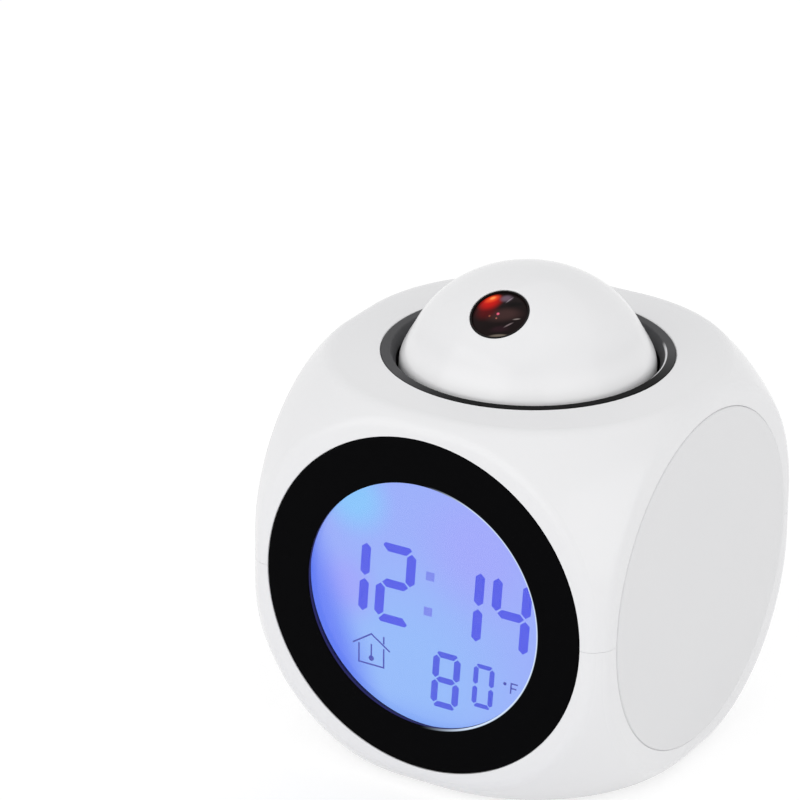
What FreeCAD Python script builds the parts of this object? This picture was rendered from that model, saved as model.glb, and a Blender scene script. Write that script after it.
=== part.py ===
import FreeCAD
import Part
import Sketcher
import math
import os

# Projection alarm clock, in millimetres
#
# A rounded cube of two moulded half shells with a flat round face on every side.
# The front face is a black ring round a display, the side faces carry plain discs,
# the back has buttons and a speaker grille, and the top has a well in which a white
# projector dome turns and can be pressed down.
# Frame: +Z up, the display looks along -Y, the origin lies under the middle of the
# clock on the surface that its feet rest on.

SIZES = {
    # case
    "foot_stand": 1.0,
    "half_width": 41.0,
    "half_height": 40.3,
    "core_half": 4.5,
    "edge_cut": 1.63,
    "edge_round": 3.6,
    "recess_edge": 0.25,
    "shell_wall": 2.4,
    "seam_gap": 0.05,
    "lip_height": 1.8,
    "lip_wall": 0.8,
    "lip_play": 0.1,
    # round recesses in the faces
    "recess_depth": 1.5,
    "recess_backing": 1.7,
    "recess_play": 0.15,
    # side discs
    "disc_margin": 5.1,
    "disc_proud": 0.2,
    "disc_edge": 0.4,
    "peg_radius": 1.5,
    "peg_circle": 24.0,
    "peg_reach": 1.0,
    "peg_play": 0.1,
    # front ring and window
    "bezel_margin": 4.6,
    "bezel_play": 0.1,
    "bezel_thick": 1.7,
    "bezel_cover": 2.6,
    "bezel_lip": 0.87,
    "bezel_edge": 0.3,
    "window_margin": 11.5,
    "window_thick": 1.2,
    "window_play": 0.1,
    "window_ledge": 0.9,
    "gasket_play": 0.1,
    "gasket_ring": 0.5,
    # display
    "lcd_inset": 0.3,
    "lcd_cut": 8.0,
    "lcd_thick": 2.6,
    "guide_thick": 3.0,
    "strip_wide": 2.4,
    "strip_inset": 0.5,
    "led_wide": 2.2,
    "led_high": 3.0,
    "led_pitch": 16.0,
    "display_gap": 0.1,
    "frame_wall": 2.4,
    "ear_gap": 0.2,
    "ear_height": 12.0,
    "ear_radius": 3.2,
    "ear_thick": 1.6,
    "board_thick": 1.6,
    "board_gap": 0.2,
    "chip_side": 12.0,
    "chip_thick": 1.4,
    "sensor_side": 2.0,
    # small screws
    "screw_radius": 1.1,
    "screw_head": 2.1,
    "screw_head_thick": 1.3,
    "screw_length": 5.0,
    "screw_point": 0.3,
    "screw_point_long": 0.6,
    "screw_head_edge": 0.5,
    "thread_play": 0.05,
    "hole_play": 0.2,
    # well in the top face
    "well_rim": 1.95,
    "well_flange": 1.2,
    "dome_gap": 2.77,
    "well_edge": 0.5,
    "sleeve_wall": 1.2,
    "well_play": 0.1,
    "well_depth": 15.3,
    # projector dome
    "dome_radius": 24.83,
    "dome_rise": 21.05,
    "dome_sink": 3.7,
    "dome_wall": 1.6,
    "dome_skirt": 7.0,
    "dome_play": 0.1,
    "base_thick": 1.5,
    "spigot_radius": 6.5,
    "spigot_bore": 5.0,
    "spigot_drop": 4.0,
    "clip_thick": 0.8,
    "clip_wide": 2.5,
    "clip_groove": 0.5,
    "clip_play": 0.1,
    "clip_mouth": 2.0,
    "stop_circle": 14.6,
    "stop_radius": 1.2,
    "stop_play": 0.3,
    "stop_drop": 1.3,
    # projector optics, measured along the beam from the dome's surface
    "beam_elevation": 59.3,
    "beam_exit": 14.16,
    "dome_heading": 4.6,
    "beam_opening": 6.05,
    "barrel_recess": 1.1,
    "barrel_play": 0.1,
    "barrel_wall": 0.55,
    "lens_play": 0.05,
    "lens_recess": 0.5,
    "lens_curve": 14.0,
    "lens_rim": 0.8,
    "barrel_front": 10.0,
    "lamp_radius": 7.4,
    "lamp_wall": 1.0,
    "slide_thick": 1.1,
    "slide_half": 4.3,
    "slide_gate": 0.5,
    "condenser_rise": 2.4,
    "condenser_curve": 13.0,
    "lamp_led": 2.5,
    "lamp_led_long": 3.0,
    "lamp_led_rim": 0.4,
    "lamp_led_rim_thick": 0.8,
    "lamp_led_edge": 1.9,
    "lamp_board": 1.0,
    "optic_gap": 0.1,
    # press carrier and its tray
    "press_travel": 1.2,
    "carrier_gap": 0.1,
    "carrier_thick": 2.3,
    "carrier_play": 0.4,
    "clip_clear": 0.2,
    "pin_circle": 25.0,
    "pin_radius": 1.3,
    "pin_play": 0.15,
    "pin_long": 5.0,
    "pad_outer": 22.5,
    "pad_inner": 19.5,
    "tray_margin": 1.2,
    "tray_thick": 1.5,
    "tray_bore_play": 1.0,
    "tray_boss_radius": 3.0,
    "tray_boss_gap": 4.2,
    "tray_boss_angle": 60.0,
    "tray_ear_wall": 0.5,
    "tray_play": 0.4,
    "snooze_circle": 14.5,
    "switch_side": 6.0,
    "switch_body": 3.5,
    "switch_plunger": 1.7,
    "plunger_high": 0.5,
    "plunger_sunk": 0.2,
    "switch_rest_gap": 0.05,
    "snooze_board_wide": 12.0,
    "snooze_board_deep": 9.0,
    "thin_board": 1.0,
    "spacer_radius": 1.0,
    "spacer_inset": 1.2,
    # case screws
    "column_inset": 10.0,
    "column_y": 13.0,
    "column_radius": 3.5,
    "column_split": 4.0,
    "case_screw_radius": 1.5,
    "case_screw_head": 2.7,
    "case_screw_head_thick": 1.8,
    "case_screw_length": 14.0,
    "case_screw_seat": 7.0,
    "case_screw_point": 0.5,
    "case_screw_point_long": 1.0,
    "counterbore_play": 0.3,
    # feet
    "foot_x": 24.5,
    "foot_y": 19.5,
    "foot_radius": 4.5,
    "foot_sink": 0.8,
    "foot_play": 0.15,
    "foot_edge": 0.4,
    # battery bay
    "cell_radius": 5.25,
    "cell_long": 43.3,
    "cell_edge": 0.5,
    "nub_radius": 1.9,
    "nub_long": 1.2,
    "cell_pitch": 11.0,
    "cell_play": 0.35,
    "contact_thick": 0.4,
    "contact_rise": 1.6,
    "contact_half": 4.5,
    "contact_dome": 2.7,
    "contact_high": 9.0,
    "bay_wall": 1.5,
    "bay_floor_gap": 0.3,
    # battery door
    "door_thick": 1.8,
    "door_half_wide": 18.5,
    "door_half_long": 31.0,
    "door_gap": 0.3,
    "door_ledge": 1.3,
    "ledge_gap": 0.1,
    "thumb_y": 24.0,
    "thumb_curve": 11.0,
    "thumb_deep": 0.9,
    "thumb_half_wide": 7.0,
    "hook_x": 9.0,
    "hook_half": 3.0,
    "hook_thick": 1.0,
    "hook_reach": 2.0,
    "hook_clear": 0.2,
    "hook_web": 1.4,
    "hook_back": 0.3,
    "latch_half": 5.0,
    "latch_high": 2.6,
    "latch_thick": 1.4,
    # back panel
    "panel_margin": 5.1,
    "panel_rim": 1.5,
    "panel_floor": 1.6,
    "panel_border": 4.2,
    "panel_slope": 0.6,
    "panel_lip": 2.6,
    "panel_play": 0.4,
    "grille_height": 13.0,
    "grille_pitch": 4.0,
    "grille_hole": 1.0,
    # buttons
    "button_height": -12.0,
    "button_inner": 6.0,
    "button_outer": 18.0,
    "button_radius": 4.0,
    "button_play": 0.15,
    "button_proud": 1.1,
    "button_flange": 1.0,
    "button_flange_rim": 1.0,
    "button_rest": 0.2,
    "button_stem": 1.75,
    "button_stem_long": 2.1,
    "button_travel": 0.8,
    "button_edge": 0.5,
    "post_x": 26.5,
    "post_radius": 2.6,
    "button_board_high": 7.0,
    "button_board_long": 29.5,
    # speaker
    "speaker_radius": 14.0,
    "speaker_rim": 1.5,
    "speaker_magnet": 8.0,
    "speaker_deep": 5.0,
    "speaker_cup": 3.0,
    "speaker_flange": 0.8,
    "cone_deep": 1.6,
    "cone_cap": 5.0,
    "cone_cap_rise": 0.4,
    "gasket_thick": 0.5,
    "gasket_wide": 2.0,
    "cradle_play": 0.2,
    "cradle_wall": 1.2,
    "cradle_deep": 3.5,
    # how far joined solids run into each other, and cuts past what they cut
    "bite": 0.5,
    "over": 1.0,
}


class Size:
    """A length with its value and the spreadsheet expression that gives it."""

    def __init__(self, text, value):
        self.text = text
        self.value = value

    def __add__(self, other):
        other = as_size(other)
        return Size(f"({self.text} + {other.text})", self.value + other.value)

    def __sub__(self, other):
        other = as_size(other)
        return Size(f"({self.text} - {other.text})", self.value - other.value)

    def __mul__(self, other):
        other = as_size(other)
        return Size(f"({self.text} * {other.text})", self.value * other.value)

    def __truediv__(self, other):
        other = as_size(other)
        return Size(f"({self.text} / {other.text})", self.value / other.value)

    def __radd__(self, other):
        return as_size(other) + self

    def __rsub__(self, other):
        return as_size(other) - self

    def __rmul__(self, other):
        return as_size(other) * self

    def __neg__(self):
        return Size(f"(0 - {self.text})", -self.value)


def as_size(number):
    if isinstance(number, Size):
        return number
    return Size(f"({float(number):.9g})", float(number))


def root(number):
    number = as_size(number)
    return Size(f"sqrt({number.text})", math.sqrt(number.value))


def sine(angle):
    return Size(f"sin({angle.text})", math.sin(math.radians(angle.value)))


def cosine(angle):
    return Size(f"cos({angle.text})", math.cos(math.radians(angle.value)))


def smaller(first, second):
    return Size(f"min({first.text}; {second.text})", min(first.value, second.value))


# The document and its sheet of sizes

doc = FreeCAD.newDocument("projection_clock")
sheet = doc.addObject("Spreadsheet::Sheet", "Sizes")
for row, (alias, number) in enumerate(SIZES.items(), start=1):
    sheet.set(f"A{row}", alias)
    sheet.set(f"B{row}", str(number))
    sheet.setAlias(f"B{row}", alias)
doc.recompute()


class Named:
    """Gives each cell of the sheet as a Size, by its alias."""

    def __getattr__(self, alias):
        return Size(f"Sizes.{alias}", SIZES[alias])


s = Named()
X_AXIS = FreeCAD.Vector(1, 0, 0)
Y_AXIS = FreeCAD.Vector(0, 1, 0)
Z_AXIS = FreeCAD.Vector(0, 0, 1)
UPRIGHT = FreeCAD.Rotation()
TO_BACK = FreeCAD.Rotation(X_AXIS, -90)
TO_FRONT = FreeCAD.Rotation(X_AXIS, 90)
TO_RIGHT = FreeCAD.Rotation(Y_AXIS, 90)
TO_LEFT = FreeCAD.Rotation(Y_AXIS, -90)


# Builders for the pieces

def bind(thing, name, number):
    thing.setExpression(name, as_size(number).text)


def place(thing, at, turn=UPRIGHT):
    thing.Placement = FreeCAD.Placement(FreeCAD.Vector(), turn)
    for name, number in zip("xyz", at):
        bind(thing, f"Placement.Base.{name}", number)
    return thing


def block(name, low, high):
    """A box between two opposite corners."""
    thing = doc.addObject("Part::Box", name)
    for side, near, far in zip(("Length", "Width", "Height"), low, high):
        bind(thing, side, as_size(far) - near)
    return place(thing, low)


def rod(name, radius, length, at, turn=UPRIGHT):
    thing = doc.addObject("Part::Cylinder", name)
    bind(thing, "Radius", radius)
    bind(thing, "Height", length)
    return place(thing, at, turn)


def ball(name, radius, at):
    thing = doc.addObject("Part::Sphere", name)
    bind(thing, "Radius", radius)
    return place(thing, at)


def fuse(name, pieces):
    thing = doc.addObject("Part::MultiFuse", name)
    thing.Shapes = pieces
    thing.Refine = True
    return thing


def common(name, pieces):
    thing = doc.addObject("Part::MultiCommon", name)
    thing.Shapes = pieces
    return thing


def cut(name, base, tools):
    thing = doc.addObject("Part::Cut", name)
    thing.Base = base
    thing.Tool = tools[0] if len(tools) == 1 else fuse(f"{name}_tools", tools)
    thing.Refine = True
    return thing


def group(name, pieces):
    thing = doc.addObject("Part::Compound", name)
    thing.Links = pieces
    return thing


def origin_plane(body, role):
    return next(each for each in body.Origin.OriginFeatures if each.Role == role)


def hold(sketch, kind, point, number):
    """Fixes a point's distance from the sketch's origin along one axis."""
    number = as_size(number)
    axis = -2 if kind == "DistanceX" else -1
    if abs(number.value) < 1e-9:
        sketch.addConstraint(Sketcher.Constraint("PointOnObject", *point, axis))
        return
    if number.value > 0:
        rule = (kind, -1, 1, *point, number.value)
    else:
        rule = (kind, *point, -1, 1, -number.value)
        number = -number
    index = sketch.addConstraint(Sketcher.Constraint(*rule))
    bind(sketch, f"Constraints[{index}]", number)


def add_loop(sketch, points):
    """A closed outline of straight sides, each corner fixed by its two distances."""
    first = sketch.GeometryCount
    places = [FreeCAD.Vector(as_size(u).value, as_size(v).value, 0) for u, v in points]
    count = len(places)
    for index in range(count):
        sketch.addGeometry(Part.LineSegment(places[index], places[(index + 1) % count]), False)
    for index in range(count):
        follow = first + (index + 1) % count
        sketch.addConstraint(Sketcher.Constraint("Coincident", first + index, 2, follow, 1))
    for index, (u, v) in enumerate(points):
        hold(sketch, "DistanceX", (first + index, 1), u)
        hold(sketch, "DistanceY", (first + index, 1), v)


def add_circle(sketch, u, v, radius):
    centre = FreeCAD.Vector(as_size(u).value, as_size(v).value, 0)
    radius = as_size(radius)
    index = sketch.addGeometry(Part.Circle(centre, Z_AXIS, radius.value), False)
    rule = sketch.addConstraint(Sketcher.Constraint("Radius", index, radius.value))
    bind(sketch, f"Constraints[{rule}]", radius)
    hold(sketch, "DistanceX", (index, 3), u)
    hold(sketch, "DistanceY", (index, 3), v)


def sketch_on(body, role, name):
    sketch = body.newObject("Sketcher::SketchObject", name)
    sketch.AttachmentSupport = (origin_plane(body, role), [""])
    sketch.MapMode = "FlatFace"
    return sketch


def spin(name, points, at, turn=UPRIGHT):
    """A turned piece: a half profile of radius and height, revolved about its axis."""
    body = doc.addObject("PartDesign::Body", name)
    sketch = sketch_on(body, "XZ_Plane", f"{name}_profile")
    add_loop(sketch, points)
    turned = body.newObject("PartDesign::Revolution", f"{name}_turned")
    turned.Profile = sketch
    turned.ReferenceAxis = (sketch, ["V_Axis"])
    turned.Angle = 360
    return place(body, at, turn)


def plate(name, points, circles, thick, at, turn=UPRIGHT):
    """A flat piece: an outline with round holes, padded along its own Z axis."""
    body = doc.addObject("PartDesign::Body", name)
    sketch = sketch_on(body, "XY_Plane", f"{name}_outline")
    add_loop(sketch, points)
    for u, v, radius in circles:
        add_circle(sketch, u, v, radius)
    padded = body.newObject("PartDesign::Pad", f"{name}_padded")
    padded.Profile = sketch
    bind(padded, "Length", thick)
    return place(body, at, turn)


def edge_names(shape, wanted):
    return [f"Edge{index}" for index, edge in enumerate(shape.Edges, start=1) if wanted(edge)]


def round_off(body, radius, wanted, kind="Fillet"):
    """Rounds the edges of the body's last feature for which wanted(edge) is true."""
    doc.recompute()
    base = body.Tip
    thing = body.newObject(f"PartDesign::{kind}", f"{body.Name}_{kind.lower()}")
    thing.Base = (base, edge_names(base.Shape, wanted))
    bind(thing, "Radius" if kind == "Fillet" else "Size", radius)
    return body


def circle_at(radius, height):
    """Picks the full circles of one radius at one height of a turned piece."""
    radius = as_size(radius).value
    height = as_size(height).value

    def wanted(edge):
        if not isinstance(edge.Curve, Part.Circle):
            return False
        same_radius = abs(edge.Curve.Radius - radius) < 1e-4
        return same_radius and abs(edge.Curve.Center.z - height) < 1e-4
    return wanted


def octagon(half, corner):
    """A square outline with its corners cut off."""
    short = half - corner
    return [(half, -short), (half, short), (short, half), (-short, half),
            (-half, short), (-half, -short), (-short, -half), (short, -half)]


def rectangle(half_u, half_v):
    return [(half_u, -half_v), (half_u, half_v), (-half_u, half_v), (-half_u, -half_v)]


def four(x, y):
    return [(x, y), (-x, y), (-x, -y), (x, -y)]


# Heights and depths that several pieces share

across = s.half_width - s.core_half
upward = s.half_height - s.core_half
corner_radius = smaller(root(across * across + upward * upward),
                        root(2 * across * across)) - s.edge_cut
face_half = smaller(s.half_width, s.half_height)
disc_radius = face_half - s.disc_margin
bezel_radius = face_half - s.bezel_margin
window_radius = face_half - s.window_margin
bezel_opening = window_radius - s.bezel_cover
lcd_half = window_radius - s.lcd_inset
panel_radius = face_half - s.panel_margin
panel_dish = panel_radius - s.panel_border
panel_body = panel_radius - s.panel_lip
column_x = s.half_width - s.column_inset
mid = s.foot_stand + s.half_height
top = mid + s.half_height
bottom = s.foot_stand
front = -s.half_width
back = s.half_width
inner_half = s.half_width - s.recess_depth - s.recess_backing
inner_top = mid + s.half_height - s.shell_wall
inner_bottom = s.foot_stand + s.shell_wall
big = 2 * corner_radius


# Case: a rounded cube, cut flat on six sides

def rounded_cube(name, radius, half_side, half_up):
    """A cube with ball-like corners and edges, trimmed flat on its six sides."""
    whole = s.core_half + radius
    body = doc.addObject("PartDesign::Body", f"{name}_body")
    cube = body.newObject("PartDesign::AdditiveBox", f"{name}_cube")
    for side in ("Length", "Width", "Height"):
        bind(cube, side, 2 * whole)
    place(cube, (-whole, -whole, -whole))
    round_off(body, radius, lambda edge: True)
    place(body, (0, 0, mid))
    trim = block(f"{name}_trim", (-half_side, -half_side, mid - half_up),
                 (half_side, half_side, mid + half_up))
    return common(name, [body, trim])


def rim_round():
    """The case's edge radius, held below the size at which two rims would meet."""
    spare = across + upward - corner_radius
    sums = across * across + upward * upward - corner_radius * corner_radius
    limit = spare - root(spare * spare - sums)
    return smaller(s.edge_round, 0.93 * limit)


def make_case_form():
    """The outer form with its six round rims rounded over."""
    form = rounded_cube("case_form", corner_radius, s.half_width, s.half_height)
    doc.recompute()
    rims = set()
    for face in form.Shape.Faces:
        if isinstance(face.Surface, Part.Plane):
            rims.update(edge.hashCode() for edge in face.Edges)
    radius = rim_round().value
    chosen = [index for index, edge in enumerate(form.Shape.Edges, start=1)
              if edge.hashCode() in rims]
    rounded = doc.addObject("Part::Fillet", "case_rounded")
    rounded.Base = form
    rounded.Edges = [(index, radius, radius) for index in chosen]
    return rounded


def round_recesses(form):
    """Eases the edges of the five round recesses where they meet the flat faces."""
    radii = [number.value for number in recess_radii]
    doc.recompute()
    chosen = []
    for index, edge in enumerate(form.Shape.Edges, start=1):
        if not isinstance(edge.Curve, Part.Circle):
            continue
        centre = edge.Curve.Center
        reach = max(abs(centre.x), abs(centre.y), centre.z - mid.value)
        on_face = abs(reach - s.half_width.value) < 1e-4 or abs(reach - s.half_height.value) < 1e-4
        if on_face and min(abs(edge.Curve.Radius - radius) for radius in radii) < 1e-4:
            chosen.append((index, s.recess_edge.value, s.recess_edge.value))
    eased = doc.addObject("Part::Fillet", "case_eased")
    eased.Base = form
    eased.Edges = chosen
    return eased


# The order along the depth of the display, from the front

window_front = front + s.bezel_lip
window_back = window_front + s.window_thick
bezel_back = front + s.bezel_thick
display_bore = window_radius - s.window_ledge
lcd_front = -inner_half
lcd_back = lcd_front + s.lcd_thick
guide_back = lcd_back + s.guide_thick
board_front = guide_back + s.board_gap
board_back = board_front + s.board_thick
frame_half = lcd_half + s.display_gap + s.frame_wall
ear_front = board_front - s.ear_thick
ear_x = frame_half + s.ear_gap + s.ear_radius
ear_bridge = s.ear_radius * 0.75

# The order up the height of the projector

well_floor = top - s.well_depth
equator = top - s.dome_sink
skirt_end = equator - s.dome_skirt
base_top = skirt_end + s.base_thick
carrier_top = skirt_end - s.carrier_gap
carrier_bottom = carrier_top - s.carrier_thick
clip_top = carrier_bottom - s.clip_clear
clip_bottom = clip_top - s.clip_thick
spigot_end = skirt_end - s.spigot_drop
clip_radius = s.spigot_radius + s.clip_wide - s.clip_groove
tray_top = well_floor
tray_bottom = tray_top - s.tray_thick
plunger_top = carrier_bottom - s.press_travel - s.switch_rest_gap
well_opening = s.dome_radius + s.dome_gap
well_radius = well_opening + s.well_rim
sleeve_outer = well_opening + s.sleeve_wall
carrier_radius = well_opening - s.carrier_play

boss_circle = sleeve_outer + s.tray_boss_gap
boss_x = boss_circle * cosine(s.tray_boss_angle)
boss_y = boss_circle * sine(s.tray_boss_angle)
tray_bosses = [(boss_circle, 0), (-boss_circle, 0), (boss_x, boss_y), (-boss_x, boss_y)]

# Case screws

column_end = mid - s.column_split
case_seat = column_end - s.case_screw_seat
counterbore = s.case_screw_head + s.counterbore_play

# Battery bay

door_top = bottom + s.door_thick
ledge_bottom = door_top + s.ledge_gap
ledge_top = ledge_bottom + s.door_ledge
cell_height = door_top + s.bay_floor_gap + s.cell_radius
bay_ceiling = cell_height + s.cell_radius + s.cell_play
bay_half_wide = s.cell_pitch + s.cell_radius + s.cell_play
cell_half = (s.cell_long + s.nub_long) / 2
bay_half_long = cell_half + s.contact_rise + s.contact_thick
door_pivot_y = s.door_half_long - s.door_thick / 2
door_pivot_z = bottom + s.door_thick / 2
slot_start = bay_half_long + s.bay_wall + s.hook_clear
recess_long = s.door_half_long + s.door_gap
recess_wide = s.door_half_wide + s.door_gap

# Back panel and buttons

panel_inner = back - s.recess_depth - s.panel_rim
panel_outer = panel_inner + s.panel_floor
button_z = mid + s.button_height
button_places = {
    "button_mode": -s.button_outer,
    "button_set": -s.button_inner,
    "button_up": s.button_inner,
    "button_down": s.button_outer,
}
flange_face = panel_inner - s.button_rest
flange_back = flange_face - s.button_flange
stem_end = flange_back - s.button_stem_long
button_plunger = stem_end - s.button_travel - s.switch_rest_gap
button_board_back = button_plunger - s.switch_body
button_board_front = button_board_back - s.board_thick


disc_seat = disc_radius + s.recess_play
bezel_seat = bezel_radius + s.bezel_play
panel_seat = panel_radius + s.recess_play
well_seat = well_radius + s.well_play
recess_radii = [disc_seat, bezel_seat, panel_seat, well_seat]
recess_floor = s.half_width - s.recess_depth


def recess_tools():
    """The round recesses in five of the six faces."""
    deep = 2 * s.recess_depth
    return [
        rod("disc_recess_right", disc_seat, deep, (recess_floor, 0, mid), TO_RIGHT),
        rod("disc_recess_left", disc_seat, deep, (-recess_floor, 0, mid), TO_LEFT),
        rod("bezel_recess", bezel_seat, 2 * s.bezel_thick, (0, bezel_back, mid), TO_FRONT),
        rod("panel_recess", panel_seat, deep, (0, recess_floor, mid), TO_BACK),
        rod("well_recess", well_seat, s.well_flange + s.over, (0, 0, top - s.well_flange)),
    ]


def case_tools():
    """What is cut away from both half shells: openings and peg holes."""
    tools = []
    floor = recess_floor
    for side, turn in ((1, TO_RIGHT), (-1, TO_LEFT)):
        for y, z in four(s.peg_circle * math.sqrt(0.5), s.peg_circle * math.sqrt(0.5)):
            tools.append(rod("peg_hole", s.peg_radius + s.peg_play, 2 * s.recess_backing,
                             (side * (floor - 1.5 * s.recess_backing), y, mid + z), turn))
    tools.append(rod("window_recess", window_radius + s.window_play, s.half_width,
                     (0, window_back, mid), TO_FRONT))
    tools.append(rod("display_opening", display_bore, s.half_width,
                     (0, -inner_half + s.shell_wall, mid), TO_FRONT))
    tools.append(rod("panel_opening", panel_body + s.panel_play, s.half_width,
                     (0, inner_half - s.shell_wall, mid), TO_BACK))
    return tools


case_outer = round_recesses(cut("case_recessed", make_case_form(), recess_tools()))
cavity_radius = corner_radius - s.shell_wall
cavity = rounded_cube("case_cavity", cavity_radius, inner_half, s.half_height - s.shell_wall)
lip_form = rounded_cube("lip_form", cavity_radius + s.lip_wall, inner_half + s.lip_wall,
                        s.half_height - s.shell_wall + s.lip_wall)
groove_form = rounded_cube("groove_form", cavity_radius + s.lip_wall + s.lip_play,
                           inner_half + s.lip_wall + s.lip_play,
                           s.half_height - s.shell_wall + s.lip_wall)
case_cuts = fuse("case_cuts", case_tools())


def hollow_half(name, low, high):
    """The part of the hollow case between two heights."""
    slab = block(f"{name}_slab", (-big, -big, low), (big, big, high))
    half = common(f"{name}_half", [case_outer, slab])
    return cut(f"{name}_hollow", half, [cavity])


def make_lower_shell():
    wall = hollow_half("lower", bottom - s.over, mid - s.seam_gap)
    lip_slab = block("lip_slab", (-big, -big, mid - s.seam_gap), (big, big, mid + s.lip_height))
    lip = cut("lip", common("lip_solid", [lip_form, lip_slab]), [cavity])
    columns = [rod("lower_column", s.column_radius, column_end - inner_bottom + s.shell_wall / 2,
                   (x, y, inner_bottom - s.shell_wall / 2))
               for x, y in four(column_x, s.column_y)]
    bay = block("bay_block", (-bay_half_wide - s.bay_wall, -bay_half_long - s.bay_wall,
                              inner_bottom - s.shell_wall / 2),
                (bay_half_wide + s.bay_wall, bay_half_long + s.bay_wall, bay_ceiling + s.bay_wall))
    pad = block("door_pad", (-recess_wide - s.bay_wall, -recess_long - s.bay_wall,
                             inner_bottom - s.shell_wall / 2),
                (recess_wide + s.bay_wall, recess_long + s.bay_wall, ledge_top))
    solid = fuse("lower_solid", [wall, lip, bay, pad, *columns])
    tools = [case_cuts]
    tools.append(block("bay_space", (-bay_half_wide, -bay_half_long, bottom - s.over),
                       (bay_half_wide, bay_half_long, bay_ceiling)))
    tools.append(block("door_recess", (-recess_wide, -recess_long, bottom - s.over),
                       (recess_wide, recess_long, ledge_bottom)))
    for x in (-s.hook_x, s.hook_x):
        reach = s.hook_half + s.door_gap
        tools.append(block("hook_slot", (x - reach, slot_start, bottom),
                           (x + reach, recess_long, ledge_top + s.over)))
    latch = s.latch_half + s.door_gap
    tools.append(block("latch_slot", (-latch, -recess_long, bottom),
                       (latch, -recess_long + s.latch_thick + 3 * s.door_gap, ledge_top + s.over)))
    for x, y in four(column_x, s.column_y):
        tools.append(rod("counterbore", counterbore, case_seat - bottom + s.over, (x, y, bottom - s.over)))
        tools.append(rod("screw_way", s.case_screw_radius + s.hole_play, s.half_height,
                         (x, y, bottom)))
    for x, y in four(s.foot_x, s.foot_y):
        tools.append(rod("foot_pocket", s.foot_radius + s.foot_play, s.foot_sink + s.over,
                         (x, y, bottom - s.over)))
    return cut("lower_shell", solid, tools)


def make_upper_shell():
    wall = hollow_half("upper", mid, top + s.over)
    groove_slab = block("groove_slab", (-big, -big, mid - s.over),
                        (big, big, mid + s.lip_height + s.lip_play))
    groove = common("groove", [groove_form, groove_slab])
    open_wall = cut("upper_open", wall, [groove])
    columns = [rod("upper_column", s.column_radius, inner_top + s.shell_wall / 2 - column_end,
                   (x, y, column_end))
               for x, y in four(column_x, s.column_y)]
    bosses = [rod("tray_boss", s.tray_boss_radius, inner_top + s.shell_wall / 2 - tray_top,
                  (x, y, tray_top))
              for x, y in tray_bosses]
    ears = [rod("ear_boss", s.ear_radius, ear_front - front - s.bezel_thick,
                (x, ear_front, mid + s.ear_height), TO_FRONT)
            for x in (-ear_x, ear_x)]
    solid = fuse("upper_solid", [open_wall, *columns, *bosses, *ears])
    tools = [case_cuts]
    tools.append(rod("well_hole", sleeve_outer + s.well_play, s.well_depth,
                     (0, 0, top - s.well_depth)))
    thread = s.case_screw_radius + s.thread_play
    for x, y in four(column_x, s.column_y):
        tools.append(rod("case_thread", thread, s.case_screw_length, (x, y, column_end)))
    for x, y in tray_bosses:
        tools.append(rod("tray_thread", s.screw_radius + s.thread_play, s.screw_length + s.over,
                         (x, y, tray_top)))
    for x in (-ear_x, ear_x):
        tools.append(rod("ear_thread", s.screw_radius + s.thread_play, s.ear_radius,
                         (x, ear_front, mid + s.ear_height), TO_FRONT))
    return cut("upper_shell", solid, tools)


def make_side_disc(name, side, turn):
    """A plain disc with four pegs, flush in its recess and bridging the seam."""
    thick = s.recess_depth + s.disc_proud
    disc = spin(f"{name}_disc", [(0, 0), (disc_radius, 0), (disc_radius, thick), (0, thick)],
                (side * (s.half_width - s.recess_depth), 0, mid), turn)
    round_off(disc, s.disc_edge, circle_at(disc_radius, thick))
    offset = s.peg_circle * math.sqrt(0.5)
    start = s.half_width - s.recess_depth - s.recess_backing - s.peg_reach
    pegs = [rod("peg", s.peg_radius, s.recess_backing + s.peg_reach, (side * start, y, mid + z), turn)
            for y, z in four(offset, offset)]
    return fuse(name, [disc, *pegs])


def make_front_bezel():
    """The black ring, with a rebate behind its inner lip for the window."""
    rebate = window_radius + s.window_play
    ring = spin("front_bezel", [
        (rebate, 0), (bezel_radius, 0), (bezel_radius, s.bezel_thick),
        (bezel_opening, s.bezel_thick), (bezel_opening, s.bezel_thick - s.bezel_lip),
        (rebate, s.bezel_thick - s.bezel_lip)], (0, bezel_back, mid), TO_FRONT)
    return round_off(ring, s.bezel_edge, circle_at(bezel_radius, s.bezel_thick))


def make_window():
    return spin("lcd_window", [
        (0, 0), (window_radius, 0), (window_radius, s.window_thick), (0, s.window_thick)],
        (0, window_back, mid), TO_FRONT)


def make_window_gasket():
    """The foam ring between window and display cell, which keeps dust and stray light out."""
    outer = display_bore - s.gasket_play
    inner = outer - s.gasket_ring
    deep = lcd_front - window_back
    return spin("window_gasket", [(inner, 0), (outer, 0), (outer, deep), (inner, deep)],
                (0, lcd_front, mid), TO_FRONT)


def make_lcd_glass():
    """The display cell, a square with cut corners; its turn makes the outline face front."""
    return plate("lcd_glass", octagon(lcd_half, s.lcd_cut), [], s.lcd_thick,
                 (0, lcd_back, mid), TO_FRONT)


def make_guide():
    """The light guide, short of the cell at one side and below for lamps and contacts."""
    half = lcd_half
    short = lcd_half - s.lcd_cut
    low = lcd_half - s.strip_wide - 2 * s.display_gap
    left = lcd_half - s.led_wide - 2 * s.display_gap
    corner = half + short
    outline = [(half, -short), (half, short), (short, half), (-short, half),
               (-left, corner - left), (-left, left - corner), (low - corner, -low),
               (corner - low, -low)]
    return plate("backlight_guide", outline, [], s.guide_thick, (0, guide_back, mid), TO_FRONT)


def make_backlight_leds():
    edge = -lcd_half + s.display_gap
    lamps = [block("led", (edge, board_front - s.guide_thick, mid + z - s.led_high / 2),
                   (edge + s.led_wide, board_front, mid + z + s.led_high / 2))
             for z in (-s.led_pitch / 2, s.led_pitch / 2)]
    return group("backlight_leds", lamps)


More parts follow.
